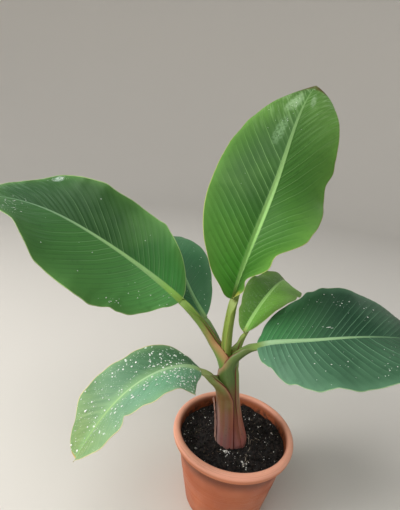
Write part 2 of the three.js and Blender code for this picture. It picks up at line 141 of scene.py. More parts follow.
# Leaves. The values from foot to wave are those of the solids, apart from the second fullness of
# low_front, which gives it a blunter tip. The others are for the looks.
# grid: rows and columns of points on each side of the blade.
# rib: half width of the midrib at four places from base to tip.
# veins: for the left and the right half, how far forward a side vein leans for each millimetre
# out, at the base and at the tip, and how much more it bends forward near the margin.
# spacing: millimetres between side veins at the base and beyond it.
# pleat: how far the sheet rises and falls at the side veins.
# bumps: for the left and the right half, dents and lobes of the margin (place, spread, outward,
# upward).
# keel: where the middle of the sheath's back stands round the trunk, in degrees.
# margins: for the left and the right, how many degrees round from there the sheath's margin
# stands, at places along it (millimetres from the petiole's root, less than 0 in the trunk).
# leave: where the leaf starts to part from the trunk and where it is free of it.
# filled: where the sheath's hollow starts to fill, if not where the leaf starts to part.
# waist: where the stalk is squeezed by the sheath in front, over what spread and by what share.
# layer: how deep the sheath lies, in layers.
# drops: clusters of water drops (place along and across, number, spread along and across).
# drop_size: smallest and largest half width of a drop.
# scuffs: long low marks (place along and across, length, half width).
LEAVES = {
    "upright": dict(
        foot=(-39, -1, 366), petiole=122, blade=512, petiole_half=(11.5, 8.5),
        half_width=(133, 116), widest=0.6, fullness=(0.45, 0.54),
        rise=(102, 72, 55, 59, 32), heading=(53, 56, 64, 58), roll=(5, 23, 4),
        fold=(70, -2, -10), curl=(-6, 24, 23), wave=((8, 2.7, 0.7), (10, 1.9, 0.88)),
        slot="leaf_bright", grid=(300, 141), rib=(8.5, 6.0, 3.3, 0.6),
        veins=((0.5, 1.8, 0.25), (0.45, 2.5, 0.1)), spacing=(11, 18), pleat=0.3,
        bumps=(
            ((0.045, 0.035, -9, 4), (0.12, 0.03, -3, 3), (0.35, 0.08, 0, 4), (0.78, 0.05, 2, 3),
             (0.9, 0.03, -2, 2)),
            ((0.05, 0.025, 8, 2), (0.09, 0.02, -5, 5), (0.135, 0.025, 7, -4), (0.19, 0.028, -6, 10),
             (0.27, 0.03, 4, -3), (0.56, 0.04, -5, 7), (0.64, 0.03, 4, -3), (0.45, 0.05, 2, 5)),
        ),
        keel=57, margins=(((0, 168), (60, 152)), ((0, 168), (60, 152))),
        leave=(-45, 15), filled=-90, waist=(0, 16, 0.14), layer=5,
        drops=((0.8, 0.15, 22, 0.06, 0.2), (0.5, 0.3, 10, 0.3, 0.5)), drop_size=(0.4, 0.9), seed=21,
    ),
    "left": dict(
        foot=(-38, -4, 326), petiole=174, blade=445, petiole_half=(13, 7.5),
        half_width=(131, 116), widest=0.46, fullness=(0.64, 0.51),
        rise=(69, 37, 29, 23, -1), heading=(158, 168, 179, 194), roll=(-52, -39, -6),
        fold=(10, 12, 13), curl=(21, 9, 4), wave=((8, 2.3, 0.4), (11, 2.1, 0.88)),
        slot="leaf_mid", grid=(300, 141), rib=(7.0, 3.6, 2.4, 0.7),
        veins=((0.15, 1.3, 0.65), (0.55, 2.0, 0.05)), spacing=(9, 15), pleat=0.28,
        bumps=(
            ((0.045, 0.025, -6, 3), (0.14, 0.03, 4, -4), (0.235, 0.025, -5, 5), (0.32, 0.03, 3, -3),
             (0.46, 0.04, 0, 3), (0.64, 0.04, 3, -2), (0.8, 0.04, -2, 3)),
            ((0.18, 0.03, -2, 3), (0.27, 0.025, 4, 0), (0.45, 0.06, 5, -3), (0.58, 0.03, 1, 3),
             (0.67, 0.025, -4, 4), (0.765, 0.04, 14, -4), (0.865, 0.025, -12, 6), (0.95, 0.045, 15, -2)),
        ),
        keel=160, margins=(((20, 154), (36, 148), (46, 152), (60, 160), (84, 156), (110, 160)),
                          ((40, 160), (60, 172))),
        leave=(16, 70), layer=3,
        drops=((0.26, 0.84, 16, 0.03, 0.05), (0.17, 0.5, 9, 0.03, 0.1), (0.05, 0.5, 7, 0.02, 0.2),
               (0.758, -0.9, 26, 0.02, 0.05), (0.86, 0.47, 60, 0.03, 0.3), (0.5, 0.2, 18, 0.25, 0.5)),
        drop_size=(0.45, 1.3), seed=22,
    ),
    "right": dict(
        foot=(-32, -13, 321), petiole=102, blade=408, petiole_half=(12, 8),
        half_width=(118, 117), widest=0.39, fullness=(0.54, 0.54),
        rise=(89, 22, 12, -5, -24), heading=(-21, -8, 8, 24), roll=(25, 19, -9),
        fold=(8, 12, 4), curl=(22, 9, 14), wave=((3, 2.4, 0.32), (7, 3.4, 0.17)),
        slot="leaf_dark", grid=(290, 141), rib=(6.4, 3.1, 1.4, 0.6),
        veins=((0.45, 2.0, 0.05), (0.1, 0.9, 0.2)), spacing=(8, 14), pleat=0.28,
        bumps=(
            ((0.01, 0.02, -18, 2), (0.1, 0.03, 3, -2), (0.23, 0.03, -6, 4), (0.28, 0.025, 7, -2),
             (0.36, 0.03, 3, 2), (0.46, 0.04, -1, 3), (0.69, 0.08, -5, 2)),
            ((0.01, 0.02, 11, 3), (0.07, 0.015, -4, 3), (0.13, 0.03, 3, -3), (0.17, 0.02, -2, 3),
             (0.25, 0.025, 3, -3), (0.31, 0.02, -1, 3), (0.38, 0.03, 3, -3), (0.5, 0.04, 0, 4)),
        ),
        keel=-21, margins=(((10, 112), (60, 158)),
                           ((4, 172), (15, 153), (24, 137), (33, 128), (41, 132), (54, 152))),
        leave=(2, 66), layer=2,
        drops=((0.35, -0.65, 36, 0.16, 0.2), (0.75, -0.5, 26, 0.16, 0.25), (0.42, 0.72, 34, 0.12, 0.1),
               (0.5, 0.3, 16, 0.25, 0.4)),
        scuffs=((0.345, 0.21, 10.0, 0.7), (0.36, 0.19, 6.0, 0.5), (0.32, 0.23, 4.0, 0.5)),
        drop_size=(0.4, 1.25), seed=23,
    ),
    "low_front": dict(
        foot=(-26, -8, 253), petiole=120, blade=309, petiole_half=(14, 7),
        half_width=(74, 70), widest=0.48, fullness=(0.46, 0.43),
        rise=(65, 43, -6, -46, -63), heading=(210, 215, 213, 212), roll=(-24, -2, 7),
        fold=(-6, 16, 29), curl=(26, 6, -3), wave=((21, 1.2, 0.78), (5, 1.7, 0.97)),
        slot="leaf_grey", grid=(240, 121), rib=(5.6, 2.2, 1.8, 0.7),
        veins=((0.4, 1.2, 0.3), (0.5, 1.4, 0.1)), spacing=(9, 16), pleat=0.2,
        bumps=(
            ((0.03, 0.025, -9, 2), (0.18, 0.035, 6, 3), (0.32, 0.035, -2, 4), (0.46, 0.05, 7, -3),
             (0.54, 0.03, 4, 0), (0.6, 0.02, -4, 4), (0.66, 0.03, 3, 0), (0.8, 0.05, 1, -3),
             (0.965, 0.04, -7, 1)),
            ((0.0, 0.03, -14, 0), (0.1, 0.04, -10, 3), (0.3, 0.04, -2, 3), (0.46, 0.05, -7, 3),
             (0.58, 0.03, 2, -3), (0.68, 0.04, -9, 4), (0.86, 0.06, -11, -3), (0.95, 0.035, -8, 0)),
        ),
        keel=212, margins=(((-88, 67), (-7, 83), (13, 86), (33, 80), (50, 87), (66, 110), (82, 140),
                            (100, 158)), ((20, 140), (80, 160))),
        leave=(30, 85), layer=0,
        drops=((0.24, 0.35, 190, 0.11, 0.35), (0.25, -0.3, 110, 0.13, 0.4), (0.55, 0.1, 90, 0.18, 0.5),
               (0.86, 0.0, 90, 0.1, 0.5), (0.45, -0.75, 60, 0.2, 0.12)),
        drop_size=(0.42, 2.1), seed=24,
    ),
    "back_left": dict(
        foot=(-36, 10, 321), petiole=120, blade=319, petiole_half=(9, 6),
        half_width=(74, 71), widest=0.53, fullness=(0.76, 0.55),
        rise=(69, 26, 29, 16, -4), heading=(132, 124, 115, 109), roll=(-9, -9, -7),
        fold=(19, 14, 7), curl=(11, 7, 11), wave=((0, 2.2, 0), (3, 2.1, 0.02)),
        slot="leaf_dark", grid=(200, 101), rib=(6.0, 3.6, 2.2, 0.8),
        veins=((0.4, 1.2, 0.3), (0.4, 1.2, 0.3)), spacing=(8, 13), pleat=0.25,
        bumps=(((0.3, 0.05, 2, 3), (0.6, 0.05, -2, 3)),
               ((0.25, 0.05, -2, 3), (0.5, 0.05, 2, -3), (0.8, 0.05, -4, 2))),
        keel=132, margins=(((8, 165),), ((8, 165),)), leave=(8, 62), layer=4,
        drops=((0.4, -0.5, 26, 0.2, 0.3),), drop_size=(0.4, 1.0), seed=25,
    ),
    "back_right": dict(
        foot=(-25, 3, 322), petiole=88, blade=263, petiole_half=(8.5, 5.5),
        half_width=(57, 63), widest=0.49, fullness=(0.47, 0.55),
        rise=(80, 53, 21, -2, -21), heading=(48, 55, 63, 71), roll=(-35, 1, 32),
        fold=(17, 8, 5), curl=(13, 15, 13), wave=((8, 2, 0.26), (3, 2.2, 0.61)),
        slot="leaf_bright", grid=(200, 101), rib=(6.2, 4.0, 2.4, 0.8),
        veins=((0.3, 1.0, 0.2), (0.5, 1.6, 0.2)), spacing=(8, 13), pleat=0.22,
        bumps=(((0.2, 0.05, 2, 3), (0.55, 0.05, -2, 3), (0.8, 0.04, 2, 3)),
               ((0.2, 0.05, 1, 3), (0.5, 0.05, -4, 3), (0.77, 0.05, 4, 0), (0.93, 0.03, -3, 0))),
        keel=25, margins=(((-14, 150), (14, 112), (44, 100), (72, 150)), ((-157, 78), (20, 76), (66, 158))),
        leave=(20, 66), layer=1,
        drops=((0.4, -0.1, 90, 0.2, 0.45), (0.7, 0.2, 40, 0.12, 0.4)), drop_size=(0.35, 0.75), seed=26,
    ),
}


# Curves and noise

def through(values, t):
    """Smooth curve through equally spaced values: a uniform cubic of each value and its neighbours."""
    v = np.asarray(values, float)
    last = len(v) - 1
    place = np.clip(np.asarray(t, float), 0, 1) * last
    i = np.minimum(place.astype(int), last - 1)
    f = place - i
    e = np.concatenate([[2 * v[0] - v[1]], v, [2 * v[-1] - v[-2]]])
    a, b, c, d = e[i], e[i + 1], e[i + 2], e[i + 3]
    return b + 0.5 * f * (c - a + f * (2 * a - 5 * b + 4 * c - d + f * (3 * (b - c) + d - a)))


def ease(low, high, x):
    """0 below low, 1 above high, and the smooth step 3t^2 - 2t^3 between them."""
    t = np.clip((np.asarray(x, float) - low) / (high - low), 0, 1)
    return t * t * (3 - 2 * t)


def mix(a, b, t):
    """The share t of the way from a to b."""
    return a + (b - a) * t


def circle(count):
    """Angles at even steps round a full turn."""
    return np.linspace(0, 2 * np.pi, count, endpoint=False)


def softened(x, keys, window):
    """Straight lines between keys of (place, value), then the mean over a window of samples."""
    places, values = zip(*keys)
    y = np.interp(x, places, values)
    padded = np.concatenate([np.full(window // 2, y[0]), y, np.full(window // 2, y[-1])])
    return np.convolve(padded, np.full(window, 1 / window), "valid")


def bell(x, middle, spread):
    """1 at the middle, falling off as exp(-d^2) with d the distance over the spread."""
    return np.exp(-((x - middle) / spread) ** 2)


def lattice_noise(x, y, seed):
    """Random numbers from -1 to 1 on a square lattice of unit steps, smoothly blended between. The
    lattice repeats after 64 steps."""
    side = 64
    table = np.random.default_rng(seed).uniform(-1, 1, (side, side))
    xi = np.floor(x).astype(int)
    yi = np.floor(y).astype(int)
    fx = ease(0, 1, x - xi)
    rows = [mix(table[xi % side, row % side], table[(xi + 1) % side, row % side], fx) for row in (yi, yi + 1)]
    return mix(*rows, ease(0, 1, y - yi))


def unit(v):
    """Vectors divided by their lengths."""
    return v / np.maximum(np.linalg.norm(v, axis=-1, keepdims=True), 1e-9)


def grid_normals(grid):
    """Unit normals of a grid of points: the cross product of its two parameter directions."""
    du = np.gradient(grid, axis=0)
    dv = np.gradient(grid, axis=1)
    return unit(np.cross(du, dv))


# Meshes

def make_mesh(name, points, faces, attributes, smooth=True):
    """A mesh object from points in millimetres, quads or triangles, and named point values."""
    mesh = bpy.data.meshes.new(name)
    mesh.from_pydata((np.asarray(points) * MM).tolist(), [], [list(f) for f in faces])
    for key, values in attributes.items():
        layer = mesh.attributes.new(key, "FLOAT", "POINT")
        layer.data.foreach_set("value", np.asarray(values, np.float32).ravel())
    mesh.polygons.foreach_set("use_smooth", [smooth] * len(mesh.polygons))
    mesh.update()
    piece = bpy.data.objects.new(name, mesh)
    bpy.context.scene.collection.objects.link(piece)
    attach(piece, "root")
    return piece


def ring_faces(rings, count):
    """Quads of a tube: ring r and r + 1 joined point by point, closed round the ring."""
    r = np.arange(rings - 1)[:, None] * count
    a = r + np.arange(count)[None, :]
    b = r + (np.arange(count)[None, :] + 1) % count
    return np.stack([a, b, b + count, a + count], -1).reshape(-1, 4).tolist()


def tube_faces(rings, count):
    """The quads of a tube and one face over each end."""
    last = (rings - 1) * count
    return ring_faces(rings, count) + [list(range(count))[::-1], list(range(last, last + count))]


def repeated(faces, each, copies):
    """The faces of a form for every copy of it, where each copy has the same number of points."""
    return [[each * i + k for k in face] for i in range(copies) for face in faces]


def loft(name, grid, attributes, folded=False):
    """A closed body through rings: grid[ring, point]. Each end is closed by one face, or where
    the ring is a flat loop folded on itself, by quads between its two halves."""
    rings, count = grid.shape[:2]
    if folded:
        k = np.arange(count // 2 - 1)
        first = np.stack([k, count - 1 - k, count - 2 - k, k + 1], -1)
        last = (rings - 1) * count + first[:, ::-1]
        faces = ring_faces(rings, count) + first.tolist() + last.tolist()
    else:
        faces = tube_faces(rings, count)
    flat = {key: np.broadcast_to(value, (rings, count)) for key, value in attributes.items()}
    return make_mesh(name, grid.reshape(-1, 3), faces, flat)


# The line that each leaf follows

def stem_axis(z):
    """Centre of the trunk at height z: two straight leans that meet at the bend."""
    z = np.asarray(z, float)
    x = STEM_SOIL_X - STEM_LEAN_LOW * (np.minimum(z, STEM_BEND_Z) - STEM_SOIL_Z)
    x = x - STEM_LEAN_HIGH * np.maximum(z - STEM_BEND_Z, 0)
    return np.stack([x, np.full_like(z, STEM_Y), z], -1)


def stem_half(z):
    """Half the trunk's width at height z, on straight lines through the table."""
    heights, halves = zip(*STEM_HALF_WIDTHS)
    return np.interp(z, heights, halves)


def direction(leaf, distance):
    """Unit direction of the leaf's line and its level left side at a distance from the root: the
    rise and the heading there, as angles of a sphere."""
    t = np.asarray(distance, float) / (leaf["petiole"] + leaf["blade"])
    rise = np.radians(through(leaf["rise"], t))
    heading = np.radians(through(leaf["heading"], t))
    forward = np.stack([np.cos(rise) * np.cos(heading), np.cos(rise) * np.sin(heading), np.sin(rise)], -1)
    level = np.stack([-np.sin(heading), np.cos(heading), np.zeros_like(heading)], -1)
    return forward, level


def leaf_line(leaf, distance):
    """Points of the leaf's line: the root plus the sum of equal steps along the direction."""
    total = leaf["petiole"] + leaf["blade"]
    step = total / PATH_STEPS
    forward, _ = direction(leaf, (np.arange(PATH_STEPS) + 0.5) * step)
    knots = np.concatenate([[leaf["foot"]], leaf["foot"] + np.cumsum(forward * step, 0)])
    along = np.linspace(0, total, PATH_STEPS + 1)
    return np.stack([np.interp(distance, along, knots[:, k]) for k in range(3)], -1)


def turned(forward, level, roll):
    """The left side and the upper side of a section, rolled about the forward direction."""
    above = np.cross(forward, level)
    r = np.radians(roll)[..., None]
    return level * np.cos(r) + above * np.sin(r), above * np.cos(r) - level * np.sin(r)


# Blades

def fullness(leaf, u):
    """Half width over its widest: (1 - t^2) to a power, t running from the widest place to an end."""
    below = u < leaf["widest"]
    t = np.where(below, 1 - u / leaf["widest"], (u - leaf["widest"]) / (1 - leaf["widest"]))
    power = np.where(below, leaf["fullness"][0], leaf["fullness"][1])
    return np.maximum(1 - t * t, 0) ** power


def blade_sheet(leaf, u, v):
    """Middle sheet of the blade. u runs from base to tip, v from the right margin to the left.
    Each half leaves the midrib at the fold angle and curls down evenly towards its margin, where
    a sine wave along the blade lifts it. Bell-shaped bumps along each margin move it out and up,
    less and less towards the midrib. Returns points, sideways place and half width."""
    left = v >= 0
    share = np.abs(v)
    tip = mix(leaf["petiole_half"][1], BLADE_TIP_HALF_WIDTH, np.minimum(u * 4, 1))
    width = fullness(leaf, u) * np.where(left, leaf["half_width"][0], leaf["half_width"][1])
    room = np.minimum(width / BUMP_ROOM, 1)
    width = np.maximum(width, tip)
    fold = np.radians(through(leaf["fold"], u))
    curl = np.radians(through(leaf["curl"], u))
    q = (np.arange(CURL_SAMPLES) + 0.5) / CURL_SAMPLES
    angle = fold[..., None] - curl[..., None] * share[..., None] * q
    across = width * share * np.cos(angle).mean(-1)
    up = width * share * np.sin(angle).mean(-1)
    for on_side, (height, waves, phase), bumps in zip((left, ~left), leaf["wave"], leaf["bumps"]):
        lift = height * share ** 2 * np.sin(2 * np.pi * (waves * u + phase))
        up = up + np.where(on_side, lift * np.sqrt(np.maximum(np.sin(np.pi * u), 0)), 0)
        for place, spread, out, raised in bumps:
            there = np.where(on_side, bell(u, place, spread) * room, 0)
            across = across + there * out * share ** 3
            up = up + there * raised * share ** 4
    across = np.where(left, across, -across)
    distance = leaf["petiole"] + u * leaf["blade"]
    forward, level = direction(leaf, distance)
    side, above = turned(forward, level, through(leaf["roll"], u))
    centre = leaf_line(leaf, distance)
    points = centre + side * across[..., None] + above * up[..., None]
    return points, width * share * np.where(left, 1, -1), width


def vein_number(leaf, u, offset):
    """Which side vein passes through a point, counted from the base, with a fraction between two.
    A vein that starts s0 along the midrib has, x out from it, s = s0 + a x + b x^2 / half width,
    where a goes evenly from its value at the base to that at the tip. s0 is found by repeated
    substitution. The spacing grows from near to far with exp(-s0 / settling)."""
    length = leaf["blade"]
    left = offset >= 0
    half, base, tip, bend = (np.where(left, *pair) for pair in (leaf["half_width"], *zip(*leaf["veins"])))
    x = np.abs(offset)
    start = u * length
    rounds = 7
    for _ in range(rounds):
        slant = mix(base, tip, np.clip(start / length, 0, 1))
        start = np.clip(u * length - slant * x - bend * x * x / half, -0.15 * length, length)
    near, far = leaf["spacing"]
    return start / far + VEIN_SETTLING * (1 / near - 1 / far) * (1 - np.exp(-start / VEIN_SETTLING))


def blade_places(rows):
    """Places from 0 to 1 with even steps, except that the steps shrink evenly to 0 at both ends."""
    end = 0.12
    t = np.linspace(0, 1, rows)
    t = np.where(t < end, t * t / (2 * end), t - end / 2)
    back = 1 - np.linspace(0, 1, rows)
    t = np.where(back < end, 1 - end - back * back / (2 * end), t)
    return t / (1 - end)


def blade(name, leaf):
    """Closed thin blade: the middle sheet moved up and down along its normals by a cosine of the
    vein's number, and by slow ripples. The upper side dips to a bell-shaped groove along the
    midrib and the lower side bulges to half an ellipse there."""
    rows, columns = leaf["grid"]
    even = np.linspace(-1, 1, columns)
    crowded = even * (1 - CROWDING + CROWDING * np.abs(even))
    u, v = np.meshgrid(blade_places(rows), crowded, indexing="ij")
    points, offset, width = blade_sheet(leaf, u, v)
    normals = grid_normals(points)
    share = np.abs(v)
    vein = vein_number(leaf, u, offset)
    seed = leaf["seed"]
    settled = ease(1, 10, np.abs(offset)) * ease(0, 0.05, u) * ease(0, 0.06, 1 - u)
    relief = leaf["pleat"] * np.cos(2 * np.pi * vein) * settled * (1 - PLEAT_FADE * share)
    ripple = lattice_noise(vein / RIPPLE_VEINS + 7, offset / RIPPLE_OUT + 9, seed)
    relief += RIPPLE * ripple * share * settled
    ripple = lattice_noise(u * leaf["blade"] / MARGIN_RIPPLE_LENGTH, np.sign(v) * 4 + 9, seed + 1)
    relief += MARGIN_RIPPLE * ripple * share ** 5
    sheet = points + normals * relief[..., None]
    rib_half = through(leaf["rib"], u)
    near = np.abs(offset) / rib_half
    depth = rib_half * mix(1.0, 0.8, u) * np.sqrt(np.maximum(1 - near ** 2, 0))
    groove = rib_half * mix(*RIB_GROOVE, ease(0, 0.2, u)) * (1 - 0.6 * u) * bell(near, 0, 0.55)
    ridge = RIB_RIDGE * rib_half * bell(near, 1.0, 0.3) * ease(0, 0.08, u)
    half = BLADE_EDGE_THICKNESS / 2
    normals = grid_normals(sheet)
    upper = sheet + normals * (half - groove + ridge)[..., None]
    lower = sheet - normals * (half + depth)[..., None]
    grid = np.concatenate([lower, upper[:, ::-1]], 1)
    edge = np.minimum(width - np.abs(offset), (1 - u) * leaf["blade"])

    values = {"vein": vein, "edge": edge * MM, "rib": 1 - ease(0.8, 1.25, near), "along": u, "across": v}
    values = {key: np.concatenate([value, value[:, ::-1]], 1) for key, value in values.items()}
    values["under"] = np.concatenate([np.ones_like(u), np.zeros_like(u)], 1)
    piece = loft(name, grid, values, folded=True)
    return piece


# Petioles with their sheaths

def channel(name, leaf):
    """A leaf's sheath and petiole in one: a channel whose centre follows the trunk's axis and
    then, between two places, leaves it for the leaf's own line. Its outer side is an arc of
    radius R from margin to margin. Its inner side goes from the same arc moved in by a thin
    wall, round the trunk, to a shallow valley between the margins, along the petiole. The
    margins part before the blade, and the end tapers inside the blade's rib."""
    foot = np.asarray(leaf["foot"], float)
    petiole = leaf["petiole"]
    hold, free = leaf["leave"]
    s = np.linspace(SHEATH_BOTTOM_Z - foot[2], petiole + PETIOLE_TENON, SHEATH_ROWS)
    z = foot[2] + s
    first, _ = direction(leaf, 0.0)
    own = leaf_line(leaf, np.maximum(s, 0)) + np.minimum(s, 0)[:, None] * first
    centre = mix(stem_axis(z), own, ease(hold - CENTRE_EARLY, free, s)[:, None])
    forward = unit(np.gradient(centre, s, axis=0))
    heading = through(leaf["heading"], np.maximum(s, 0) / (petiole + leaf["blade"]))
    turn = (leaf["keel"] - leaf["heading"][0] + 180) % 360 - 180
    heading = np.radians(heading + turn * (1 - ease(hold, free, s)))
    level = np.stack([-np.sin(heading), np.cos(heading), np.zeros_like(heading)], -1)
    level = unit(level - forward * (level * forward).sum(-1, keepdims=True))
    share = np.clip(s / petiole, 0, 1)
    side, above = turned(forward, level, leaf["roll"][0] * share ** 3)
    sunk = PETIOLE_SUNK * ease(*np.add(petiole, PETIOLE_SINKS), s)
    centre = centre - above * sunk[:, None]

    slim = ease(hold, free, s)
    stalk_half = mix(leaf["petiole_half"][0], leaf["petiole_half"][1], share)
    inside_blade = ease(petiole, petiole + PETIOLE_TENON, s)
    wrapped_half = stem_half(np.minimum(z, SHEATH_TOP_Z)) - SHEATH_LAYER * leaf["layer"]
    radius = mix(wrapped_half, stalk_half, slim)
    slimmer = PETIOLE_SLIMMER * ease(*np.add(petiole, PETIOLE_SLIMS), s)
    radius = radius * (1 - 0.5 * inside_blade) * (1 - slimmer)
    if "waist" in leaf:
        at, spread, squeeze = leaf["waist"]
        radius = radius * (1 - squeeze * bell(s, at, spread))
    opening = ease(GROOVE_START, 1.0, s / petiole)
    reach = [mix(softened(s, keys, MARGIN_WINDOW), GROOVE_MARGIN_OPEN, opening) for keys in leaf["margins"]]
    left, right = np.radians(reach)[..., None]
    outward = np.linspace(-1, 1, SHEATH_COLUMNS)
    place = np.concatenate([outward, -outward])[None, :]
    inside = np.repeat([0.0, 1.0], SHEATH_COLUMNS)[None, :]
    reach = np.where(place > 0, left, right)
    theta = reach * place
    flat = mix(1.0, 0.95, slim)[:, None]
    radius = radius[:, None]

    fall = np.abs(place) ** 4
    wall = mix(*WALL_MIDDLE, slim)[:, None] * (1 - fall) + mix(*WALL_MARGIN, slim)[:, None] * fall
    wall = np.minimum(wall, radius * 0.3)
    thin = radius - wall * inside
    across_wrap, up_wrap = thin * np.sin(theta), -thin * np.cos(theta) * flat
    margin_y = -np.cos(reach) * radius * flat
    bottom_y = radius * mix(*GROOVE_BOTTOM, opening)[:, None]
    margin_x = (radius - wall) * np.sin(np.minimum(reach, np.radians(178)))
    across_valley = margin_x * np.sin(place * np.pi / 2)
    up_valley = bottom_y + (margin_y - bottom_y - wall * 0.2) * np.abs(place) ** 3
    filled = leaf.get("filled", hold)
    to_valley = ease(filled, filled + free - hold, s)[:, None] * inside
    across = mix(across_wrap, across_valley, to_valley)
    up = mix(up_wrap, up_valley, to_valley)

    layer = leaf["layer"]
    height, number, length, seed = SHEATH_WAVES
    waves = lattice_noise(theta * number + layer, s[:, None] / length + 9, seed + layer)
    wavy = 1 + height * waves * (1 - inside)
    offset = side[:, None, :] * (across * wavy)[..., None] + above[:, None, :] * (up * wavy)[..., None]
    offset[..., 1] *= mix(STEM_DEPTH_RATIO, 1, slim)[:, None]
    grid = centre[:, None, :] + offset
    values = {
        "edge": radius * (reach - np.abs(theta)) * MM, "along": s[:, None] * MM,
        "round": theta * radius * MM, "inside": inside, "near_blade": opening[:, None],
    }
    piece = loft(name, grid, values, folded=True)
    return piece


def stem_core():
    """The solid middle of the trunk inside the sheaths: rings about the axis, and a top whose
    rings shrink as an ellipse does. Its attributes are those of a sheath's back."""
    below, in_top = CORE_RINGS
    rise = CORE_CAP * np.sin(np.linspace(0.1, np.pi / 2, in_top))
    z = np.concatenate([np.linspace(CORE_BOTTOM_Z, CORE_TOP_Z, below), CORE_TOP_Z + rise])
    above = np.maximum(z - CORE_TOP_Z, 0) / (CORE_CAP + 0.2)
    half = (stem_half(z) - SHEATH_LAYER * CORE_LAYERS) * np.sqrt(np.maximum(1 - above ** 2, 0.0004))
    angle = circle(CORE_SIDES)
    x, y, z = stem_axis(z).T[..., None]
    half = half[:, None]
    grid = np.stack([
        x + half * np.cos(angle), y + half * STEM_DEPTH_RATIO * np.sin(angle), z + 0 * angle,
    ], -1)
    values = {"edge": 0.02, "along": -0.1, "round": angle * 0.02, "inside": 0.0, "near_blade": 0.0}
    piece = loft("trunk_core", grid, values)
    return piece


# Pot and potting mix

# Profile of the wall: rounding of the foot, ridges round it and the edges of the thin collar
POT_SIDES = 192
POT_FOOT_ROUND = 6.0
POT_RIDGES = (57.0, 60.5, 88.0, 91.0, 94.5, 99.0, 102.0, 105.5)
RIDGE_HEIGHT = 0.42
RIDGE_SPREAD = 0.9
COLLAR_LOW = 154.5
COLLAR_HIGH = 161.0

# Lumps of the mix: height, width, and place and seed of their noise
SOIL_LUMPS = ((3.4, 19, 20, 3), (2.0, 7.5, 20, 4), (1.2, 2.8, 50, 5))
SOIL_UNDERSIDE_Z = 148.0
# How far the mix clings up the wall: on the whole, and the heights of slow and of quick waves
SOIL_CLING = (2.5, 4.0, 2.0)


def turned_grid(profile, sides):
    """A profile of (radius, height) turned round the Z axis: one ring for each place of it."""
    angle = circle(sides)
    radius, height = np.asarray(profile, float).T[..., None]
    return np.stack([radius * np.cos(angle), radius * np.sin(angle), height + 0 * angle], -1)


def arc(centre, radii, start, end, steps):
    """Points of an arc in the plane of radius and height: the centre plus its radii times the
    cosine and the sine of an angle in degrees."""
    a = np.radians(np.linspace(start, end, steps))
    return (np.stack([np.cos(a), np.sin(a)], 1) * radii + centre).tolist()


def line(a, b, steps):
    """Points at even steps from a to b."""
    return np.linspace(a, b, steps).tolist()


def pot():
    """Moulded pot: a profile turned round the axis. From the underside it goes up the tapering
    wall, to which bell-shaped ridges are added, over the collar, the step, the bulging rim and
    its lip, all arcs, and down the straight inner wall to the floor."""
    base, neck, rim, mouth = POT_BASE_RADIUS, POT_NECK_RADIUS, POT_RIM_RADIUS, POT_RIM_MOUTH
    foot = POT_FOOT_ROUND
    band = POT_HEIGHT - POT_RIM_BAND
    wall_rings = 170
    z = np.linspace(foot, COLLAR_LOW, wall_rings)
    wall = np.linspace(base + 0.2, neck - 1.4, wall_rings)
    wall = wall + RIDGE_HEIGHT * sum(bell(z, ridge, RIDGE_SPREAD) for ridge in POT_RIDGES)
    outer = [
        (0.5, 2.0), (60, 2.0), (64, 0.6),
        *line((66, 0), (base - foot, 0), 5),
        *arc((base - foot, foot), (foot, foot), -80, -8, 8),
        *zip(wall, z),
        *arc((neck - 0.4, COLLAR_LOW + 1.4), (1.7, 1.1), -80, 0, 5),
        *arc((neck - 0.4, COLLAR_HIGH - 1.4), (1.7, 1.1), 0, 85, 5),
        *arc((neck + 3.2, band - 2.2), (3.4, 1.9), 178, 100, 5),
        *line((neck + 4, band - 0.2), (rim - 5, band), 3),
        *arc((rim - 4.6, band + 3.6), (3.4, 3.5), -78, -12, 6),
        *arc((rim - 12, band + 10.5), (12.2, 14), -30, 28, 12),
        *arc((rim - 7.2, POT_HEIGHT - 6.4), (6.4, 6.4), 22, 97, 11),
        *arc((mouth + 6, POT_HEIGHT - 8), (6, 7.6), 102, 176, 9),
    ]
    profile = [
        *outer,
        *line((mouth - 0.3, POT_HEIGHT - 12), (POT_INNER_NECK_RADIUS, POT_INNER_NECK_Z), 5),
        *line((POT_INNER_NECK_RADIUS - 1, POT_INNER_NECK_Z - 6), (POT_INNER_BASE_RADIUS, POT_FLOOR), 8),
        (0.5, POT_FLOOR),
    ]
    lip = (len(outer) - 8, len(outer))
    inner = np.interp(np.arange(len(profile)), lip, (0, 1))
    piece = loft("pot_finish", turned_grid(profile, POT_SIDES), {"inner": inner[:, None]})
    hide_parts("pot")
    return piece


def soil_height(x, y):
    """Height of the potting mix: a low mound with lumps of three sizes, that clings to the pot's
    wall in places."""
    r = np.hypot(x, y)
    lumps = sum(
        height * lattice_noise(x / width + place, y / width + place, seed)
        for height, width, place, seed in SOIL_LUMPS
    )
    wall = ease(SOIL_EDGE - 15, SOIL_EDGE, r)
    turn = np.arctan2(y, x)
    mean, slow, quick = SOIL_CLING
    cling = mean + slow * lattice_noise(turn * 4 + 30, turn * 0 + 2, 6)
    cling += quick * lattice_noise(turn * 15 + 90, r / 4, 7)
    mound = SOIL_MOUND * np.maximum(1 - r / SOIL_EDGE, 0)
    return SOIL_LEVEL - 2.0 + mound + lumps * (1 - 0.5 * wall) + cling * wall


def soil():
    """Polar grid of the mix's surface, turned down at the wall and closed below."""
    angle = circle(300)
    radius = np.linspace(0.4, SOIL_EDGE - 0.4, 150)[:, None]
    x, y = radius * np.cos(angle), radius * np.sin(angle)
    top = np.stack([x, y, soil_height(x, y)], -1)
    skirt = top[-1:] * (1, 1, 0) + (0, 0, SOIL_UNDERSIDE_Z)
    grid = np.concatenate([skirt * (0.05, 0.05, 1), skirt * (0.99, 0.99, 1), top[::-1]])
    piece = loft("potting_mix", grid, {})
    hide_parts("potting_soil")
    return piece


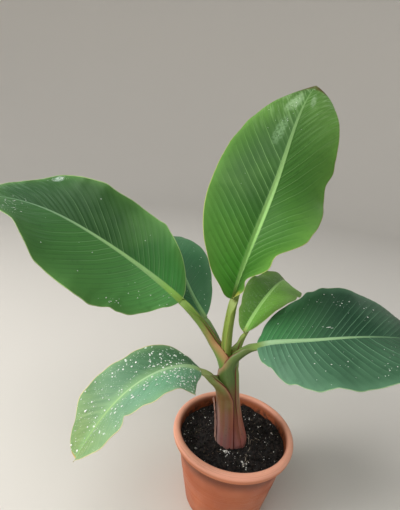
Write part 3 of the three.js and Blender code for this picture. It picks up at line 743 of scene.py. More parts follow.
# The twelve corners and twenty faces of an icosahedron
ICO = (1 + 5 ** 0.5) / 2
ICO_POINTS = unit(np.array([
    (-1, ICO, 0), (1, ICO, 0), (-1, -ICO, 0), (1, -ICO, 0), (0, -1, ICO), (0, 1, ICO),
    (0, -1, -ICO), (0, 1, -ICO), (ICO, 0, -1), (ICO, 0, 1), (-ICO, 0, -1), (-ICO, 0, 1),
], float))
ICO_FACES = (
    (0, 11, 5), (0, 5, 1), (0, 1, 7), (0, 7, 10), (0, 10, 11), (1, 5, 9), (5, 11, 4), (11, 10, 2),
    (10, 7, 6), (7, 1, 8), (3, 9, 4), (3, 4, 2), (3, 2, 6), (3, 6, 8), (3, 8, 9), (4, 9, 5),
    (2, 4, 11), (6, 2, 10), (8, 6, 7), (9, 8, 1),
)


# How far a grain's corners move in or out, and how far it is stretched or flattened
GRAIN_CORNERS = (0.7, 1.25)
GRAIN_STRETCH = (0.6, 1.1)


def scatter_on_soil(rng, count, clear):
    """Random places on the mix, even over its disc, outside the trunk's foot by a clear distance."""
    trunk = 35
    r = np.sqrt(rng.uniform(0, 1, count * 2)) * (SOIL_EDGE - 4)
    a = rng.uniform(0, 2 * np.pi, count * 2)
    x, y = r * np.cos(a), r * np.sin(a)
    free = np.hypot(x - STEM_SOIL_X, y - STEM_Y) > trunk + clear
    return x[free][:count], y[free][:count]


def grains(name, rng, x, y, small, large, lift, power):
    """Rough lumps: a twenty-sided form whose corners are moved in and out at random, flattened,
    sized by a power law between two sizes and set into the mix."""
    n = len(x)
    corners = len(ICO_POINTS)
    size = small + (large - small) * rng.uniform(0, 1, n) ** power
    shape = ICO_POINTS * rng.uniform(*GRAIN_CORNERS, (n, corners, 1))
    shape = shape * rng.uniform(*GRAIN_STRETCH, (n, 1, 3))
    centre = np.stack([x, y, soil_height(x, y) + size * lift], -1)
    points = centre[:, None, :] + shape * size[:, None, None]
    shade = np.repeat(rng.uniform(0, 1, n), corners)
    faces = repeated(ICO_FACES, corners, n)
    piece = make_mesh(name, points.reshape(-1, 3), faces, {"shade": shade}, smooth=False)
    return piece


def crumbs():
    """Brown crumbs all over the mix."""
    rng = np.random.default_rng(11)
    x, y = scatter_on_soil(rng, 3400, -2)
    return grains("mix_crumbs", rng, x, y, 0.7, 4.2, 0.15, 3.0)


# Heaps of white grains: place, number, spread and largest size
GRAIN_HEAPS = (
    (-15, -48, 4, 2.0, 4.6), (-25, -44, 3, 2.0, 2.8), (-6, -50, 3, 2.5, 3.0), (-12, -56, 3, 3, 2.0),
    (23, -68, 6, 2.5, 3.2), (21, -76, 5, 3, 2.2), (28, -56, 3, 3, 1.8), (-105, -8, 2, 1.5, 3.4),
    (-84, -52, 3, 2, 3.0), (-88, 44, 2, 2, 2.8), (-64, 60, 3, 5, 2.2), (62, 40, 4, 6, 2.0),
    (80, 10, 3, 5, 2.0),
)


def white_grains():
    """White grains loose on the mix, then larger ones in heaps, each spread normally round its
    heap's place."""
    rng = np.random.default_rng(12)
    x, y = scatter_on_soil(rng, 210, 0)
    loose = grains("white_grains", rng, x, y, 0.45, 1.7, 0.45, 2.4)
    heaps = np.array(GRAIN_HEAPS, float)
    x, y, _, spread, largest = np.repeat(heaps, heaps[:, 2].astype(int), axis=0).T
    x = rng.normal(x, spread)
    y = rng.normal(y, spread)
    return loose, grains("white_heaps", rng, x, y, 0.9, largest, 0.4, 0.8)


def hairs(name, x, y, length, heading, bend, half, arch):
    """Thin bent roots lying on the mix: a five-sided tube along a line that turns evenly and
    rises in a half sine wave."""
    steps, sides = 9, 5
    t = np.linspace(0, 1, steps)
    a = heading[:, None] + bend[:, None] * t
    x = x[:, None] + np.cumsum(np.cos(a), 1) * length[:, None] / steps
    y = y[:, None] + np.cumsum(np.sin(a), 1) * length[:, None] / steps
    on_soil = np.hypot(x, y).max(1) < SOIL_EDGE - 3
    x, y, a = (values[on_soil, :, None] for values in (x, y, a))
    z = soil_height(x, y) + 0.7 + arch[on_soil, None, None] * np.sin(np.pi * t)[:, None]
    thick = half[on_soil, None, None] * (1 - 0.6 * t ** 2)[:, None]
    k = circle(sides)
    ring = np.stack([
        x - np.sin(a) * np.cos(k) * thick, y + np.cos(a) * np.cos(k) * thick, z + np.sin(k) * thick,
    ], -1)
    faces = repeated(tube_faces(steps, sides), steps * sides, len(ring))
    piece = make_mesh(name, ring.reshape(-1, 3), faces, {})
    return piece


# Pale roots by the trunk: place, heading in degrees, length, bend, arch
ROOTS = (
    (34, -18, 70, 22, 1.6, 5.0), (38, -20, 95, 18, -1.2, 4.0), (30, -38, 30, 18, 1.4, 2.0),
    (24, -44, -40, 16, -1.5, 1.5), (36, -6, 80, 18, 1.5, 5.0), (22, -66, 40, 14, 1.8, 3.0),
    (26, -74, 110, 14, -1.8, 3.0), (16, -78, 20, 12, 1.6, 2.5), (46, 2, 20, 22, -1.6, 2.0),
)


def roots():
    """Fine roots at random all over the mix, and the pale roots by the trunk."""
    rng = np.random.default_rng(13)
    x, y = scatter_on_soil(rng, 130, 0)
    ranges = ((4, 15), (0, 6.28), (-1.6, 1.6), (0.6, 1.3), (0, 2.0))
    length, heading, bend, half, arch = (rng.uniform(*ends, len(x)) for ends in ranges)
    fine = hairs("root_fibres", x, y, length, heading, bend, 0.24 * half, arch)
    x, y, heading, length, bend, arch = np.array(ROOTS, float).T
    half = np.full(len(x), 0.45)
    return fine, hairs("pale_roots", x, y, length, np.radians(heading), bend, half, arch)


# Water drops

# Height of a drop and of a scuff for their half width, and how far a drop's middle stands off
DROP_HEIGHT = 0.55
SCUFF_HEIGHT = 0.3
DROP_LIFT = 0.4
DROP_RINGS = (88, 55, 20)
DROP_SIDES = 8
# The part of a blade, along it and out from the midrib, that drops lie on
DROPS_ALONG = (0.02, 0.975)
DROPS_OUT = (0.05, 0.95)


def water_drops(name, leaf):
    """Flattened domes on the upper side of a blade, spread normally round their clusters. A dome
    has rings at three angles from its top, stretched along the blade. A scuff is the same form,
    long and low."""
    rng = np.random.default_rng(leaf["seed"] + 40)
    places = []
    for at_u, at_v, count, spread_u, spread_v in leaf["drops"]:
        places.append((rng.normal(at_u, spread_u, count), rng.normal(at_v, spread_v, count)))
    u, v = np.concatenate(places, axis=1)
    keep = np.ones(len(u), bool)
    for place, (low, high) in ((u, DROPS_ALONG), (np.abs(v), DROPS_OUT)):
        keep &= (place > low) & (place < high)
    u, v = u[keep], v[keep]
    small, large = leaf["drop_size"]
    size = small + (large - small) * rng.uniform(0, 1, len(u)) ** 2.4
    stretch = rng.uniform(0.8, 1.5, len(u))
    drops = np.stack([u, v, size, stretch, np.full(len(u), DROP_HEIGHT)])
    scuffs = leaf.get("scuffs", ())
    scuffs = [(at_u, at_v, half, long / half / 2, SCUFF_HEIGHT) for at_u, at_v, long, half in scuffs]
    u, v, size, stretch, flat = np.concatenate([drops, np.reshape(scuffs, (-1, 5)).T], axis=1)
    step = 1e-3
    here = blade_sheet(leaf, u, v)[0]
    ahead = unit(blade_sheet(leaf, u + step, v)[0] - here)
    aside = unit(blade_sheet(leaf, u, v + step)[0] - here)
    normal = unit(np.cross(ahead, aside))
    aside = np.cross(normal, ahead)
    ahead, aside, normal, here = (a[:, None, None, :] for a in (ahead, aside, normal, here))
    stretch, flat, size = (a[:, None, None, None] for a in (stretch, flat, size))
    polar = np.radians(DROP_RINGS)[:, None, None]
    turn = circle(DROP_SIDES)[:, None]
    dome = ahead * np.sin(polar) * np.cos(turn) * stretch + aside * np.sin(polar) * np.sin(turn)
    dome = dome + normal * np.cos(polar) * flat
    points = here + normal * DROP_LIFT + dome * size
    rings = len(DROP_RINGS)
    faces = repeated(tube_faces(rings, DROP_SIDES), rings * DROP_SIDES, len(u))
    piece = make_mesh(name, points.reshape(-1, 3), faces, {})
    return piece


# Old sheath at the trunk's foot

DRY_TOP_Z = 268.0
DRY_HALF_THICKNESS = 0.3
# How far it stands off the trunk: at its foot, more by a bulge, and more towards its top
DRY_OFF = (1.2, 4.5, 5.5)
# Its half width, and its place round the trunk in degrees, from foot to top
DRY_HALF_WIDTH = (7.0, 2.6)
DRY_TURN = (194, 200)


def dry_sheath():
    """A narrow papery strip that has come away from the trunk's left side: a ribbon whose line
    stands a few millimetres off the trunk, cupped across its width by a square, with waved edges
    and a ragged upper end."""
    t = np.linspace(0, 1, 90)
    z = mix(SHEATH_BOTTOM_Z + 6, DRY_TOP_Z, t)
    foot, bulge, top = DRY_OFF
    off = foot + bulge * np.sin(np.pi * t) ** 2 * t + top * t ** 4
    half = mix(*DRY_HALF_WIDTH, ease(0, 0.6, t)) * (1 - 0.6 * ease(0.93, 1, t))
    half = half * (1 + 0.22 * lattice_noise(t * 17 + 4, t * 0 + 3, 76))
    middle = np.radians(mix(*DRY_TURN, t))
    radius = stem_half(z) + off
    across = half / radius
    t, middle, radius, across = (a[:, None] for a in (t, middle, radius, across))
    w = np.linspace(-1, 1, 17)
    angle = middle + across * w
    radius = radius + 1.8 * w ** 2 * t + 0.7 * lattice_noise(w * 3 + 5, t * 17 + 3, 77)
    x, y, z = stem_axis(z).T[..., None]
    ragged = 3.0 * lattice_noise(w * 4 + 9, t * 3 + 1, 78) * t ** 2
    sheet = np.stack([
        x + radius * np.cos(angle), y + radius * np.sin(angle) * STEM_DEPTH_RATIO, z + ragged,
    ], -1)
    wall = grid_normals(sheet) * DRY_HALF_THICKNESS
    grid = np.concatenate([sheet - wall, (sheet + wall)[:, ::-1]], 1)
    piece = loft("dry_sheath_strip", grid, {}, folded=True)
    return piece


# Materials

class Finish:
    """A node material with short calls for the nodes used here. It keeps the colour so far, and
    each coat blends a tone over it. A tone is six hexadecimal digits or a socket."""

    def __init__(self, name, roughness, colour, **sockets):
        self.material = bpy.data.materials.new(name)
        self.material.use_nodes = True
        self.tree = self.material.node_tree
        self.shader = self.tree.nodes["Principled BSDF"]
        self.shader.inputs["Roughness"].default_value = roughness
        for socket, value in sockets.items():
            self.shader.inputs[socket.replace("_", " ")].default_value = value
        self.place = self.node("TexCoord", {}, "Object")
        self.colour = colour

    def node(self, kind, inputs, output=0, **settings):
        """One output of a new node, with values, tones or sockets for its inputs."""
        node = self.tree.nodes.new("ShaderNode" + kind)
        for key, value in settings.items():
            setattr(node, key, value)
        for socket, value in inputs.items():
            self.link(value, node.inputs[socket])
        return node.outputs[output]

    def link(self, value, socket):
        """Joins a socket to an input, or sets the input to a number or a tone."""
        if isinstance(value, bpy.types.NodeSocket):
            self.tree.links.new(value, socket)
        else:
            socket.default_value = rgb(value) if isinstance(value, str) else value

    def attributes(self, names):
        """The point values that a piece carries under each name."""
        return [self.node("Attribute", {}, "Fac", attribute_name=name) for name in names.split()]

    def height(self):
        """Height over the ground, in metres."""
        return self.node("SeparateXYZ", {0: self.place}, "Z")

    def math(self, kind, *values):
        """The result of one calculation."""
        return self.node("Math", dict(enumerate(values)), operation=kind)

    def both(self, *values):
        """The product of several shares."""
        result = values[0]
        for value in values[1:]:
            result = self.math("MULTIPLY", result, value)
        return result

    def off_middle(self, share):
        """How far a share is from one half."""
        return self.math("ABSOLUTE", self.math("SUBTRACT", share, 0.5))

    def span(self, value, low, high, to_low=0, to_high=1):
        """A smooth step from one value at low to another at high."""
        ends = {"From Min": low, "From Max": high, "To Min": to_low, "To Max": to_high}
        return self.node("MapRange", {"Value": value, **ends}, interpolation_type="SMOOTHSTEP")

    def noise(self, scale, detail, vector=None):
        """Soft clouds, about as many in a metre as the scale says."""
        inputs = {"Vector": vector or self.place, "Scale": scale, "Detail": detail}
        return self.node("TexNoise", inputs, "Fac")

    def scaled_noise(self, scale, detail, stretch):
        """Noise whose three directions each have a scale of their own."""
        return self.noise(scale, detail, self.node("Mapping", {"Vector": self.place, "Scale": stretch}))

    def surface_noise(self, detail, *places):
        """Noise that follows the surface: pairs of an attribute and how many clouds it has to one."""
        scaled = {i: self.both(place, scale) for i, (place, scale) in enumerate(places)}
        return self.noise(1, detail, self.node("CombineXYZ", scaled))

    def blend(self, a, b, *shares):
        """The way from tone a to tone b, by the product of the shares."""
        inputs = {0: self.both(*shares), 6: a, 7: b}
        return self.node("Mix", inputs, 2, data_type="RGBA")

    def coat(self, tone, *shares):
        """Blends a tone over the colour so far, by the product of the shares."""
        self.colour = self.blend(self.colour, tone, *shares)

    def finish(self, relief=None, depth=0, strength=0, roughness=None):
        """Joins the colour to the shader, and a relief of a given depth in metres and an uneven
        roughness where there are any."""
        self.link(self.colour, self.shader.inputs["Base Color"])
        if relief is not None:
            bump = self.node("Bump", {"Height": relief, "Distance": depth, "Strength": strength})
            self.link(bump, self.shader.inputs["Normal"])
        if roughness is not None:
            self.link(roughness, self.shader.inputs["Roughness"])
        return self.material


def rgb(text):
    """A linear colour from six hexadecimal digits of a screen colour."""
    c = np.array([int(text[i:i + 2], 16) / 255 for i in (0, 2, 4)])
    c = np.where(c <= 0.04045, c / 12.92, ((c + 0.055) / 1.055) ** 2.4)
    return (*c.tolist(), 1)


def wear(piece, material):
    """Gives a piece one material."""
    piece.data.materials.clear()
    piece.data.materials.append(material)


# left and right: the tone of each half at the base, in the middle and at the tip. These are the leaf's own
# green together with painted shade, where one half or its middle lies darker in the light.
# turn: where along the blade the first tone turns to the second.
# pale: streaks along the veins, partly bloom and partly a painted sheen (tone, where it starts, share).
# edge: clouds, and the share outer of it towards the margin. dark: clouds, the painted shade of the
# pleats beside the veins and the painted shade by the rib. valley: the share of that painted shade by the
# rib.
# vein: side veins (tone, share, what of it is left near the margin). halo: along the middle.
# rib: midrib from base to tip, with its shares at both ends of rib_fade. under: underside.
# margin: tone and width in millimetres. burn: dry tip (tone, where it starts).
# marks: spots (place along and across, half length, half width, tone, share).
# dew: share of fine droplets, in a pale tone that is a painted reflection.
LEAF_LOOK = dict(
    turn=(0.05, 0.45), outer=0.1, valley=0.1, rib_fade=(0.45, 0.95), rough=0.42, marks=(),
)
LEAF_LOOKS = {
    "upright": dict(
        left=("5ba43e", "27531b", "3f6328"), right=("3a6b22", "41742b", "58823c"), dark="28561c",
        pale=("8fb37c", 0.62, 0.6), edge="669840", outer=0.4, valley=0.35,
        vein=("8ebd74", 0.5, 0.4), rib=("b2d890", "90bf70", "82a76c"), rib_share=(1, 0.45),
        under="8fb070", margin=("b0b86c", 1.6), burn=("54401f", 0.96),
        marks=((0.02, -0.9, 0.035, 0.5, "b9ad50", 0.8), (0.88, 0.25, 0.07, 0.22, "a9c6a0", 0.45),
               (0.72, 0.22, 0.09, 0.12, "93b98c", 0.35), (0.9, -0.2, 0.05, 0.1, "a9c6a0", 0.4)),
    ),
    "left": dict(
        left=("52934c", "427838", "3c683c"), right=("387c36", "164412", "2a512e"), dark="2c5229",
        pale=("7fa086", 0.5, 0.32), edge="5f9148", outer=0.18, vein=("8dbb80", 0.5, 0.1),
        rib=("86b455", "8fb878", "83a884"), rib_share=(1, 0.55), under="7fa070",
        margin=("b8d48f", 2),
        marks=((0.758, -0.87, 0.025, 0.1, "b4c8be", 0.9),),
    ),
    "right": dict(
        left=("42804b", "183e28", "193c2a"), right=("527c61", "2a5237", "0e2517"), dark="1c3b2b",
        pale=("5f8a72", 0.3, 0.12), edge="5f8d6c", vein=("86b892", 0.55, 0.15),
        rib=("9bc094", "96bc8c", "668f6b"), rib_share=(0.96, 0.4), rib_fade=(0.28, 0.7),
        under="6f9470", margin=("a6c394", 1.5),
    ),
    "low_front": dict(
        left=("71a885", "7ca58b", "7e9e60"), right=("386340", "6c9676", "7e9b60"), dark="557f62",
        turn=(0.3, 0.66), pale=("a3bf84", 0.45, 0.4), edge="84ab78", vein=("9cc488", 0.22, 0.4),
        rib=("9cc088", "a3c79a", "a6c884"), rib_share=(1, 0.7), under="93ad7c",
        margin=("dfd3a4", 2), rough=0.4, burn=("cfa04e", 0.985), halo="8fb880", dew=1,
    ),
    "back_left": dict(
        left=("3c6f47", "376a42", "3b6b44"), right=("3c7249", "2f623d", "35663f"), dark="274a36",
        pale=("5a8a6c", 0.5, 0.3), edge="57845f", vein=("6f9f7c", 0.45, 0.4),
        rib=("79a568", "739c6c", "66906c"), rib_share=(1, 0.6), under="6a8f6c",
        margin=("8fae80", 1.2), rough=0.45,
    ),
    "back_right": dict(
        left=("50802f", "528036", "6b9844"), right=("7cbb4a", "84c150", "a0de66"), dark="41702c",
        pale=("93b070", 0.5, 0.35), edge="7a9e4c", vein=("8fba68", 0.4, 0.4),
        rib=("a6d87c", "aadc84", "a4d080"), rib_share=(1, 0.8), under="8aa868",
        margin=("b5c47e", 1.2), burn=("b58a3a", 0.985), dew=0.7,
    ),
}
# Where along the blade the midrib turns to each of its tones
RIB_ZONES = ((0, 0.07), (0.05, 0.2), (0.3, 0.85))
# Lines between two side veins
FINE_LINES = 7


def leaf_finish(name, look, stalk):
    """Blade: each half has its own green that shifts from base to tip, with painted shade where one half or
    its middle lies darker in the light, thin pale side veins of unequal strength with a painted shade of
    the pleat beside each and finer ones between, a painted shade by the midrib, streaks of bloom and
    painted sheen along the veins, a pale midrib that begins in the stalk's colour, a light margin and a
    paler underside."""
    look = {**LEAF_LOOK, **look}
    f = Finish(name, look["rough"], None, Specular_IOR_Level=0.2)
    vein, edge, along, across, under, rib = f.attributes("vein edge along across under rib")
    halves = []
    # Each half's tones hold its own green and painted shade: on some leaves one half, or its middle, is
    # darker because of how the light falls on it.
    for base, middle, tip in (look["right"], look["left"]):
        tone = f.blend(base, middle, f.span(along, *look["turn"]))
        halves.append(f.blend(tone, tip, f.span(along, 0.5, 0.95)))
    f.colour = f.blend(*halves, f.span(across, -0.05, 0.05))
    out = f.math("ABSOLUTE", across)
    cloud = f.noise(7, 2)
    f.coat(look["dark"], f.span(cloud, 0.5, 0.72, 0, 0.35))
    f.coat(look["edge"], f.span(cloud, 0.28, 0.5, 0.3, 0))
    f.coat(look["edge"], f.span(edge, 0, 0.02, 0.4, 0))
    f.coat(look["edge"], f.span(out, 0.4, 1, 0, look["outer"]))
    # Painted shade: darker towards the midrib, where the blade folds.
    f.coat(look["dark"], f.span(out, 0, 0.5, look["valley"], 0), f.span(along, 0.1, 0.3))

    wander = f.math("MULTIPLY_ADD", f.noise(35, 2), 0.22, vein)
    phase = f.math("FRACT", wander)
    number = f.math("FLOOR", f.math("ADD", wander, 0.5))
    chance = f.node("TexWhiteNoise", {"W": number}, "Value", noise_dimensions="1D")
    strength = f.span(chance, 0, 1, 0.06, 1)
    fading = f.both(f.span(edge, 0.004, 0.045), f.span(along, 0.6, 0.95, 1, 0.3))
    vein_tone, vein_share, left_out = look["vein"]
    strong = f.both(f.span(f.off_middle(phase), 0.42, 0.5), fading, strength,
                    f.span(out, 0.2, 0.9, 1, left_out))
    # Painted shade of the pleats: dark right beside each vein on one side, fading over the space to the next.
    beside = f.both(f.span(phase, 0.03, 0.1), f.span(phase, 0.1, 0.6, 1, 0))
    fine = f.span(f.off_middle(f.math("FRACT", f.both(vein, FINE_LINES))), 0.22, 0.5)
    # Streaks along the veins: partly bloom, partly a painted sheen that makes them paler.
    streak = f.surface_noise(3, (vein, 2.6), (across, 2.2))
    tone, start, share = look["pale"]
    bloom = f.both(f.span(streak, 0.45, 0.7), f.span(along, start, 1))
    f.coat(tone, bloom, share)
    # Painted pleat shade beside the veins.
    f.coat(look["dark"], beside, fading, 0.32)
    f.coat(vein_tone, fine, 0.1)
    f.coat(vein_tone, strong, vein_share)
    mottle = f.noise(70, 4)
    f.coat(look["dark"], f.span(mottle, 0.55, 0.75, 0, 0.2))

    if "halo" in look:
        f.coat(look["halo"], f.span(out, 0, 0.3, 1, 0), f.span(along, 0, 0.5, 0.2, 0.6))
    for at_u, at_v, long, wide, tone, share in look["marks"]:
        off_u = f.math("DIVIDE", f.math("SUBTRACT", along, at_u), long)
        off_v = f.math("DIVIDE", f.math("SUBTRACT", across, at_v), wide)
        far = f.math("ADD", f.both(off_u, off_u), f.both(off_v, off_v))
        broken = f.span(f.noise(160, 4), 0.36, 0.56, 0.25, 1)
        f.coat(tone, f.span(far, 0, 1, 1, 0), broken, share)
    # Fine droplets of water, in a pale tone that is a painted reflection.
    if "dew" in look:
        droplets = f.span(f.noise(620, 1), 0.66, 0.74, 0, look["dew"])
        f.coat("dfeae0", droplets, f.span(f.noise(45, 2), 0.42, 0.6))
    f.coat(look["under"], under, 0.75)
    midrib = stalk
    for tone, zone in zip(look["rib"], RIB_ZONES):
        midrib = f.blend(midrib, tone, f.span(along, *zone))
    f.coat(midrib, rib, f.span(along, *look["rib_fade"], *look["rib_share"]))
    tone, width = look["margin"]
    f.coat(tone, f.span(edge, width * MM * 0.5, width * MM, 0.85, 0))
    if "burn" in look:
        tone, start = look["burn"]
        scorch = f.span(f.noise(60, 3), 0.3, 0.6, 0.5, 1)
        f.coat(tone, f.span(along, start, mix(start, 1, 0.7)), scorch)

    damp = f.noise(24, 3)
    rough = f.span(damp, 0.3, 0.7, look["rough"] - 0.06, look["rough"] + 0.1)
    rough = f.math("MULTIPLY_ADD", under, 0.12, rough)
    relief = f.math("MULTIPLY_ADD", fine, 0.3, f.both(strong, 0.7))
    pores = f.noise(420, 3)
    relief = f.math("MULTIPLY_ADD", pores, 0.3, relief)
    return f.finish(relief, 0.0004, 0.7, rough)


# Trunk colours from the soil up, then the stalk's own green and its light tone, which also meets
# the blade. blush: tone beside the margins, held for blush_hold metres and gone at blush_width,
# that ends between two places along the stalk. margin: the thin line of the margin itself, with
# its end along the stalk, its share, and the heights between which it begins. bloom: tone of a
# band beside the back's middle, with its limits round the stalk in metres.
STALK_LOOK = dict(
    foot="a26a68", middle="945f4e", neck="7e5e34", streak="5a4a2c", stalk="6f8c44", light="8fa659",
    blush="a5745a", blush_hold=0.001, blush_width=0.006, blush_end=(0.03, 0.06),
    margin="64201a", line=1, line_end=(0.045, 0.08), line_from=(0, 0.01),
)
STALK_LOOKS = {
    "upright": dict(stalk="7a913a", light="90a64c", blush="96a050", line=0.2),
    "left": dict(stalk="608436", light="7b9c44", blush="c48a66", blush_hold=0.003, blush_width=0.026,
                 blush_end=(0.06, 0.12), line_end=(0.09, 0.13)),
    "right": dict(foot="b67876", stalk="526e34", light="76914a", blush="b88468", blush_width=0.018,
                  blush_end=(0.02, 0.05)),
    "low_front": dict(stalk="889c58", light="99a86c", blush="ac7058", blush_width=0.009,
                      blush_end=(0.06, 0.1), line_end=(0.08, 0.12), bloom=("c8a2a2", -0.004, 0.01)),
    "back_left": dict(stalk="587a44", light="76945a"),
    "back_right": dict(foot="be7670", middle="b07260", neck="94744e", stalk="7f9848", light="98ac5a",
                       blush="96573f", blush_width=0.004, line_from=(0.2, 0.26)),
}
# Heights in metres between which the trunk turns to each of its tones
TRUNK_ZONES = {"middle": (0.182, 0.222), "neck": (0.222, 0.262), "stalk": (0.27, 0.33)}


def stalk_finish(name, look):
    """Sheath and petiole: from purplish red at the soil through brown olive to its own green, in
    soft patches with faint lines along it and wider strips of grey and red low on the trunk, a
    blush beside its margins and dark red along them, and an even light green where it meets the
    blade."""
    f = Finish(name, 0.42, look["foot"], Specular_IOR_Level=0.4)
    z = f.height()
    edge, along, inside, near_blade, around = f.attributes("edge along inside near_blade round")
    streak = f.surface_noise(3, (around, 170), (along, 7))
    strip = f.surface_noise(2, (around, 75), (along, 3))
    patch = f.noise(26, 3)
    uneven = f.math("MULTIPLY_ADD", f.math("SUBTRACT", patch, 0.5), 0.045, z)
    for tone, zone in TRUNK_ZONES.items():
        f.coat(look[tone], f.span(uneven, *zone))
    if "bloom" in look:
        tone, start, end = look["bloom"]
        f.coat(tone, f.span(around, start - 0.035, start - 0.01), f.span(around, start, end, 1, 0),
               f.span(z, 0.235, 0.275, 1, 0.1), f.span(streak, 0.3, 0.6, 0.55, 1), 0.8)
    upper = f.span(z, 0.22, 0.32, 0.3, 1)
    lower = f.span(z, 0.22, 0.3, 1, 0)
    f.coat(look["light"], f.span(streak, 0.48, 0.75, 0, 0.35), upper)
    f.coat(look["streak"], f.span(streak, 0.25, 0.45, 0.24, 0))
    f.coat("87706f", f.span(strip, 0.5, 0.66, 0, 0.42), lower)
    f.coat("a4503c", f.span(strip, 0.34, 0.5, 0.34, 0), lower)
    f.coat(look["light"], f.span(patch, 0.5, 0.75, 0, 0.3), upper)
    f.coat(look["blush"], f.span(edge, look["blush_hold"], look["blush_width"], 1, 0),
           f.span(along, *look["blush_end"], 1, 0.08), f.span(z, 0.19, 0.25, 0.1, 1), 0.75)
    f.coat(look["margin"], f.span(edge, 0.0016, 0.003, 1, 0), f.span(near_blade, 0, 0.4, 1, 0),
           f.span(along, *look["line_end"], 1, 0.15), look["line"],
           f.span(z, *look["line_from"], 0.25, 1), 0.92)
    f.coat(look["light"], inside, 0.3)
    specks = f.noise(170, 2)
    f.coat(look["streak"], f.span(specks, 0.64, 0.74), 0.35)
    f.coat(look["light"], f.span(near_blade, 0.3, 1))
    rough = f.span(streak, 0.3, 0.7, 0.36, 0.52)
    pores = f.noise(260, 3)
    relief = f.math("MULTIPLY_ADD", streak, 0.6, f.both(pores, 0.4))
    return f.finish(relief, 0.0005, 0.6, rough)


def pot_finish():
    """Moulded plastic: warm terracotta with fine level lines, faint clouds, a painted shade under the rim,
    dust low on the body, a rim lightened by painted light with a painted highlight along its top, a
    painted shade on the inner wall, and mix smeared up the inner wall."""
    f = Finish("terracotta_plastic", 0.4, "b5623f", Specular_IOR_Level=0.3)
    z = f.height()
    inner = f.attributes("inner")[0]
    band = (POT_HEIGHT - POT_RIM_BAND) * MM
    cloud = f.noise(12, 3)
    f.coat("c4714c", f.span(cloud, 0.35, 0.68))
    # Painted shade under the rim: the body darkens up to the rim's underside, where the rim's shadow falls.
    f.coat("6a311d", f.span(z, 0.12, 0.149), f.span(z, band - 0.0015, band - 0.0002, 0.8, 0))
    # Painted light: the rim's lower band is lighter than the body, and a painted highlight runs along the top
    # of the rim.
    f.coat("d9875f", f.span(z, band - 0.0008, band + 0.003, 0, 0.75))
    f.coat("fcb69c", f.span(z, band + 0.0065, band + 0.0145, 0, 0.94))
    lines = f.scaled_noise(1, 2, (2, 2, 800))
    f.coat("93492e", f.span(lines, 0.5, 0.8, 0, 0.25))
    # Painted shade: the pot's inner wall is darker than the outside.
    f.coat("985134", inner, 0.8)
    smear = f.span(f.noise(90, 5), 0.45, 0.65)
    f.coat("3c2c24", inner, smear, f.span(z, 0.162, 0.178, 1, 0), 0.85)
    dust = f.span(f.noise(40, 4), 0.4, 0.7)
    f.coat("a58268", f.span(z, 0, 0.06, 1, 0), dust, 0.45)
    scuff = f.scaled_noise(120, 4, (1, 1, 4))
    f.coat("d8a186", f.span(scuff, 0.64, 0.74, 0, 0.25))
    rough = f.span(f.noise(30, 3), 0.3, 0.7, 0.34, 0.5)
    relief = f.math("MULTIPLY_ADD", lines, 0.7, f.both(f.noise(500, 2), 0.3))
    return f.finish(relief, 0.0004, 0.5, rough)


def soil_finish(name, dark, light):
    """Moist mix: near black with brown lumps, damp and rough patches."""
    f = Finish(name, 0.85, dark, Specular_IOR_Level=0.3)
    f.coat(light, f.span(f.noise(160, 5), 0.42, 0.7))
    f.coat("40322a", f.span(f.noise(420, 4), 0.58, 0.72, 0, 0.5))
    damp = f.noise(60, 3)
    return f.finish(f.noise(700, 5), 0.0014, 0.9, f.span(damp, 0.35, 0.65, 0.55, 0.95))


def grain_finish():
    """White volcanic grains, a little dirty in their hollows."""
    f = Finish("white_grain", 0.8, "a8a6a2")
    f.coat("f2f1ee", f.span(f.attributes("shade")[0], 0, 0.5))
    f.coat("6b6258", f.span(f.noise(600, 3), 0.58, 0.74, 0, 0.5))
    return f.finish(f.noise(1500, 3), 0.0004, 0.8)


def fibre_finish(name, dark, light):
    """Roots in two tones."""
    f = Finish(name, 0.75, dark)
    f.coat(light, f.span(f.noise(90, 2), 0.35, 0.65))
    return f.finish(f.noise(900, 2), 0.0002, 0.5)


def drop_finish():
    """Water standing on the blade: glossy, with a pale tone that is a painted reflection of the bright
    surroundings, a little uneven.
    """
    # The drops' pale, near-white tone is a painted reflection of the bright surroundings.
    f = Finish("water_drop", 0.08, "c3d8c8", Specular_IOR_Level=0.9)
    f.coat("f4f8f4", f.span(f.noise(160, 2), 0.35, 0.6))
    return f.finish(f.noise(900, 2), 0.0002, 0.3)


def dry_finish():
    """Papery sheath: pale brown fibres along it and darker stains."""
    f = Finish("dry_sheath", 0.75, "9a6e60")
    fibre = f.scaled_noise(1, 4, (420, 420, 16))
    f.coat("d3ab9c", f.span(fibre, 0.35, 0.65))
    f.coat("7a4d46", f.span(f.noise(60, 3), 0.5, 0.7, 0, 0.6))
    return f.finish(fibre, 0.0006, 0.8)


# Making everything

for key, leaf in LEAVES.items():
    blade_piece = blade(f"blade_{key}", leaf)
    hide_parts(f"leaf_{key}")
    stalk_look = {**STALK_LOOK, **STALK_LOOKS[key]}
    wear(blade_piece, leaf_finish(f"leaf_{key}", LEAF_LOOKS[key], stalk_look["light"]))
    stalk = channel(f"stalk_{key}", leaf)
    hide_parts(f"petiole_{key}")
    wear(stalk, stalk_finish(f"stalk_{key}", stalk_look))
    wear(water_drops(f"drops_{key}", leaf), drop_finish())

core_piece = stem_core()
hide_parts("pseudostem")
wear(core_piece, stalk_finish("trunk_core", STALK_LOOK))
wear(dry_sheath(), dry_finish())
wear(pot(), pot_finish())
wear(soil(), soil_finish("moist_mix", "1a1819", "302a29"))
wear(crumbs(), soil_finish("mix_crumb", "100e0e", "332b28"))
for piece in white_grains():
    wear(piece, grain_finish())
for piece, tones in zip(roots(), (("5a4a3c", "94846e"), ("9c8c7c", "d6cabb"))):
    wear(piece, fibre_finish(piece.name, *tones))


# Floor, light and camera, in metres

def in_scene(name, data):
    """A new object in the scene."""
    thing = bpy.data.objects.new(name, data)
    bpy.context.scene.collection.objects.link(thing)
    return thing


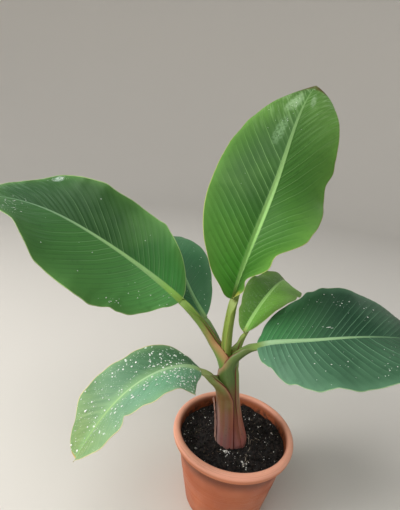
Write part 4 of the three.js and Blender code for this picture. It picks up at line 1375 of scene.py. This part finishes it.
def stage():
    """Pale floor that curves up into a plain wall all round: a quarter circle in its profile."""
    flat_end, bend, top = 3.4, 1.8, 4.6
    profile = line((0.001, 0), (flat_end, 0), 8)
    profile += arc((flat_end, bend), (bend, bend), -88, 0, 24)
    profile += line((flat_end + bend, bend + 0.1), (flat_end + bend, top), 4)
    points = turned_grid(profile, 96)
    faces = [face[::-1] for face in ring_faces(*points.shape[:2])]
    mesh = bpy.data.meshes.new("floor")
    mesh.from_pydata(points.reshape(-1, 3).tolist(), [], faces)
    mesh.polygons.foreach_set("use_smooth", [True] * len(faces))
    floor = in_scene("floor", mesh)
    wear(floor, Finish("pale_floor", 0.9, "dedbd6").finish())


def put(thing, right, up, back, place):
    """Turns and places a light or the camera, which look away from their back."""
    thing.matrix_world = Matrix([*zip(right, up, back, place), (0, 0, 0, 1)])


def area_light(name, place, target, size, power, colour):
    """Square soft light, aimed at a target."""
    data = bpy.data.lights.new(name, "AREA")
    data.shape = "SQUARE"
    data.size = size
    data.energy = power
    data.color = colour
    back = unit(np.subtract(place, target))
    right = unit(np.cross((0, 0, 1), back))
    put(in_scene(name, data), right, np.cross(back, right), back, place)


def camera():
    """The photograph's view: 400 pixels of focal length on a frame 400 wide and 510 high."""
    focal_pixels = 400.0
    frame_height = 510.0
    place = (-0.1145, -0.7192, 0.7962)
    pitch, roll = np.radians(17.6), np.radians(6.4)
    data = bpy.data.cameras.new("camera")
    data.sensor_fit = "VERTICAL"
    data.sensor_height = 36.0
    data.lens = focal_pixels * data.sensor_height / frame_height
    data.clip_end = 50
    ahead = np.array([0, np.cos(pitch), -np.sin(pitch)])
    level = np.array([1.0, 0, 0])
    above = np.cross(level, ahead)
    right = np.cos(roll) * level + np.sin(roll) * above
    up = np.cos(roll) * above - np.sin(roll) * level
    eye = in_scene("camera", data)
    put(eye, right, up, -ahead, place)
    bpy.context.scene.camera = eye


def sky(colour, strength):
    """Even light from all round."""
    world = bpy.data.worlds.new("soft_sky")
    bpy.context.scene.world = world
    world.use_nodes = True
    background = world.node_tree.nodes["Background"]
    background.inputs["Color"].default_value = (*colour, 1)
    background.inputs["Strength"].default_value = strength


stage()
sky((0.97, 0.98, 0.98), 0.33)
area_light("overhead", (-1.0, -0.9, 2.9), (0, 0, 0.4), 2.4, 50, (1.0, 0.98, 0.94))
area_light("front_left", (-3.0, -0.9, 1.9), (0, 0, 0.3), 1.4, 76, (1.0, 0.97, 0.92))
area_light("back_right", (1.8, 1.6, 2.0), (0, 0, 0.5), 1.4, 3, (0.96, 0.98, 1.0))
camera()
bpy.context.scene.view_settings.view_transform = "Standard"
